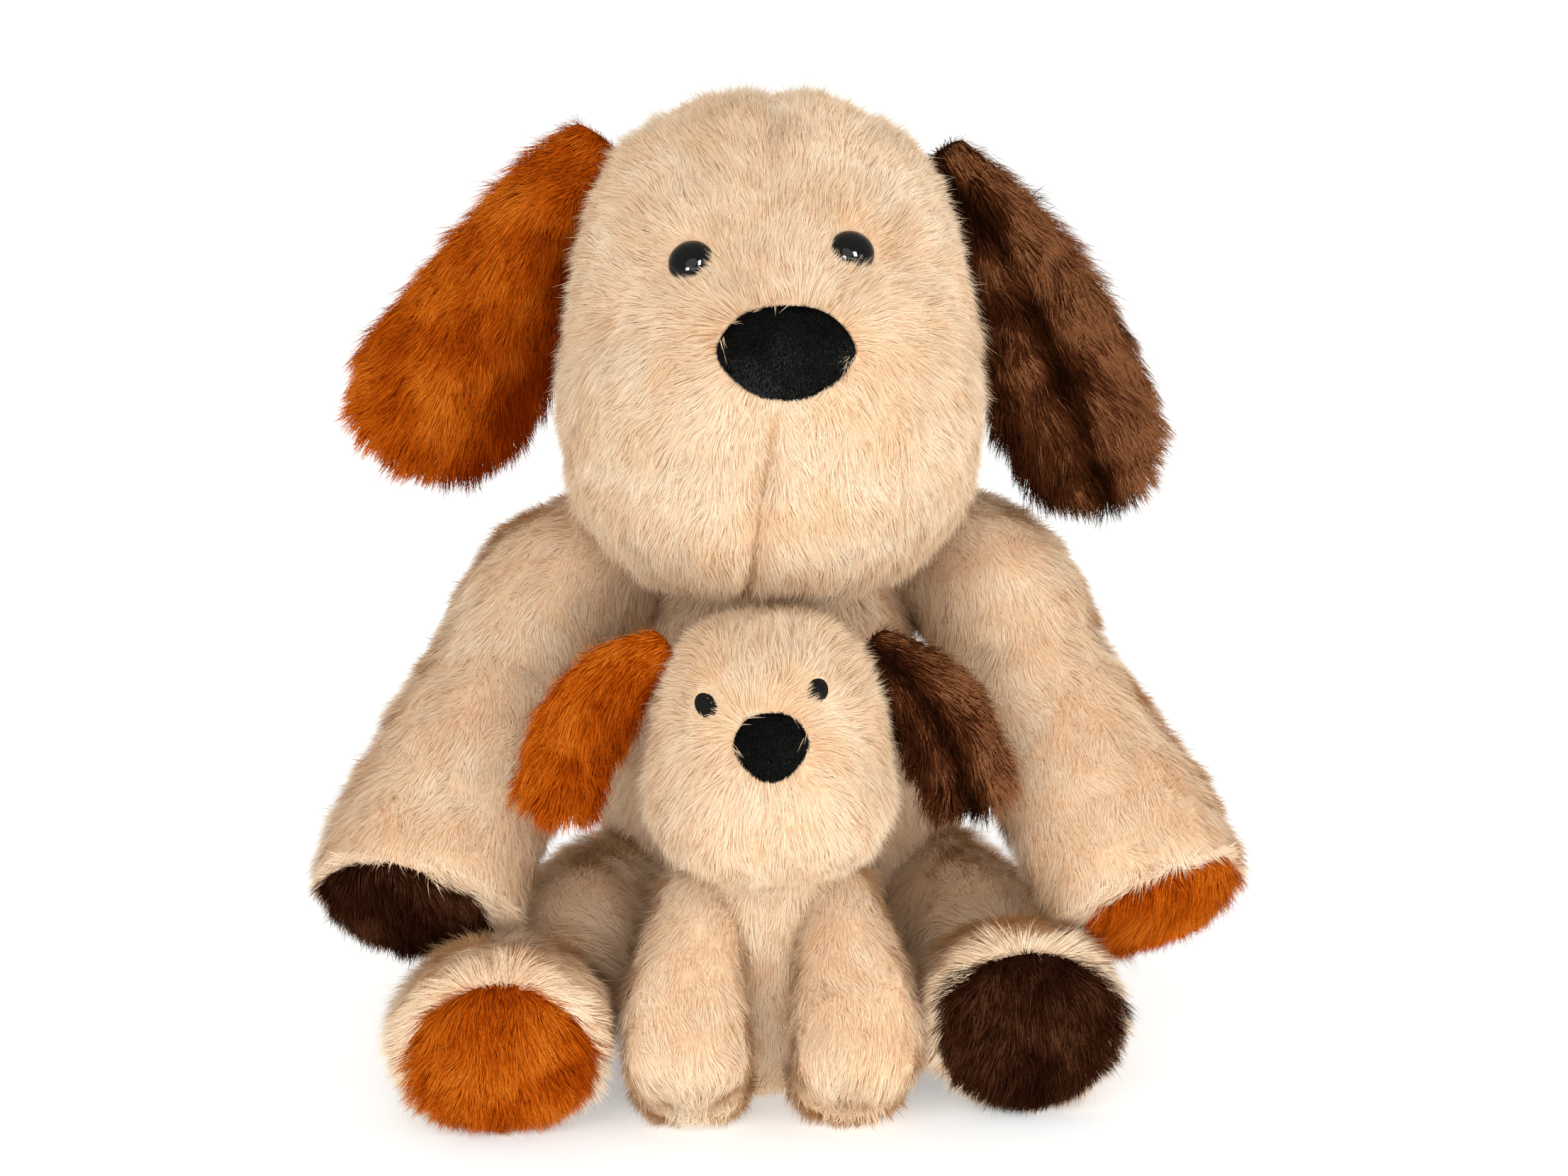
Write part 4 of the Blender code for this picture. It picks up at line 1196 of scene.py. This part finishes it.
def label_points(low, high, columns, rows, thick):
    """Points of the label's faces, which droop and curl towards its free end."""
    middle_x, middle_z = (low[0] + high[0]) / 2, (low[2] + high[2]) / 2
    for face in (0.0, thick):
        for row in range(rows + 1):
            along = row / rows
            for column in range(columns + 1):
                across = column / columns - 0.5
                curl = 0.0035 * along * math.sin(2.2 * along + 1.4 * across)
                yield (middle_x + curl + face, low[1] + (high[1] - low[1]) * along,
                       middle_z + (high[2] - low[2]) * across - 0.0030 * along ** 2)


def label_faces(columns, rows):
    """Both faces of the label and the rim between them."""
    line, layer = columns + 1, (rows + 1) * (columns + 1)
    for row in range(rows):
        for column in range(columns):
            corner = row * line + column
            quad = (corner, corner + 1, corner + line + 1, corner + line)
            yield quad
            yield tuple(layer + index for index in reversed(quad))
    rim = list(range(columns))
    rim += [row * line + columns for row in range(rows)]
    rim += [rows * line + column for column in range(columns, 0, -1)]
    rim += [row * line for row in range(rows, 0, -1)]
    for first, second in zip(rim, rim[1:] + rim[:1]):
        yield (second, first, layer + first, layer + second)


def build_label():
    """The care label: a satin strip sewn into the back seam."""
    low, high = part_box("care_label")
    columns, rows, thick = 10, 16, 0.0004
    points = list(label_points(low, high, columns, rows, thick))
    label = mesh_object("care_label", points, list(label_faces(columns, rows)), [SATIN])
    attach(label, "body")
    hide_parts("care_label")


def dress_hidden_nodes():
    """Materials for the CAD nodes that keep their own shape."""
    for node, material in (
        ("right_eye_washer", WASHER), ("left_eye_washer", WASHER), ("pellet_bag", BAG_CLOTH),
        ("puppy_pellet_bag", BAG_CLOTH),
    ):
        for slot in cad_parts[node].material_slots:
            slot.material = material


build_label()
dress_hidden_nodes()


# ---- studio

# Soft boxes: place, what it faces, width and height, power
SOFT_BOXES = {
    "side_box": ((1.3, -1.0, 0.45), (0, -0.05, 0.17), (0.5, 0.7), 5.5),
    "low_box": ((0.2, -1.5, 0.14), (0, -0.05, 0.12), (1.2, 0.26), 6.5),
    "back_box": ((0.3, 1.7, 1.1), (0, -0.05, 0.17), (1.2, 0.9), 6.0),
}
# Strong boxes that light only the big eyes, for their white highlights
CATCH_BOXES = {"right_catch_box": (-0.60, -1.25, 0.12), "left_catch_box": (0.55, -1.10, 0.75)}
CATCH_SIZE, CATCH_POWER = (0.34, 0.55), 45.0
FACE_MIDDLE = (0, -0.1, 0.285)
SUN_PLACE, SUN_STRENGTH, SUN_SOFTNESS = (-0.35, -1.7, 0.80), 1.32, 50
FLOOR_REACH = 14.0


def aimed(name, data, place, target):
    """A light or a camera in the scene at a place, facing its target."""
    made = linked(name, data)
    made.location = place
    made.rotation_euler = (Vector(target) - made.location).to_track_quat("-Z", "Y").to_euler()
    return made


def area_light(name, place, target, size, power):
    """A soft box."""
    data = bpy.data.lights.new(name, "AREA")
    data.shape = "RECTANGLE"
    data.size, data.size_y = size
    data.energy = power
    return aimed(name, data, place, target)


def build_floor():
    """A pale floor; its faint bluish glow evens out the warm sky on it."""
    material = patterned("studio_floor", (0.94, 0.94, 0.94), (0.96, 0.96, 0.96), 2, 0.9, 0.0)
    put(material.node_tree.nodes["Principled BSDF"], Emission_Color=(0.88, 0.95, 1.0, 1),
        Emission_Strength=0.33)
    reach = FLOOR_REACH
    corners = [(-reach, -reach, 0), (reach, -reach, 0), (reach, reach, 0), (-reach, reach, 0)]
    mesh_object("studio_floor", corners, [(0, 1, 2, 3)], [material])


def build_sky():
    """Warm light from all round."""
    world = bpy.data.worlds.new("studio")
    bpy.context.scene.world = world
    world.use_nodes = True
    put(world.node_tree.nodes["Background"], Color=(1.0, 0.965, 0.91, 1), Strength=0.67)


def build_lights():
    """A broad sun from the front, soft boxes that fill it, and the catch boxes."""
    data = bpy.data.lights.new("soft_sun", "SUN")
    data.energy = SUN_STRENGTH
    data.angle = math.radians(SUN_SOFTNESS)
    aimed("soft_sun", data, SUN_PLACE, (0, 0, 0))
    for name, (place, target, size, power) in SOFT_BOXES.items():
        area_light(name, place, target, size, power)
    reach = bpy.data.collections.new("eye_lights_reach")
    for eye in eye_beads:
        reach.objects.link(eye)
    for name, place in CATCH_BOXES.items():
        box = area_light(name, place, FACE_MIDDLE, CATCH_SIZE, CATCH_POWER)
        box.light_linking.receiver_collection = reach


def build_camera():
    """The camera in front of the dogs, a little above them."""
    data = bpy.data.cameras.new("camera")
    data.lens = CAMERA_LENS
    azimuth, elevation = math.radians(CAMERA_AZIMUTH), math.radians(CAMERA_ELEVATION)
    back = Vector((math.sin(azimuth) * math.cos(elevation), -math.cos(azimuth) * math.cos(elevation),
                   math.sin(elevation)))
    place = CAMERA_TARGET + back * CAMERA_DISTANCE
    bpy.context.scene.camera = aimed("camera", data, place, CAMERA_TARGET)


build_floor()
build_sky()
build_lights()
build_camera()
bpy.context.scene.view_settings.view_transform = "Standard"
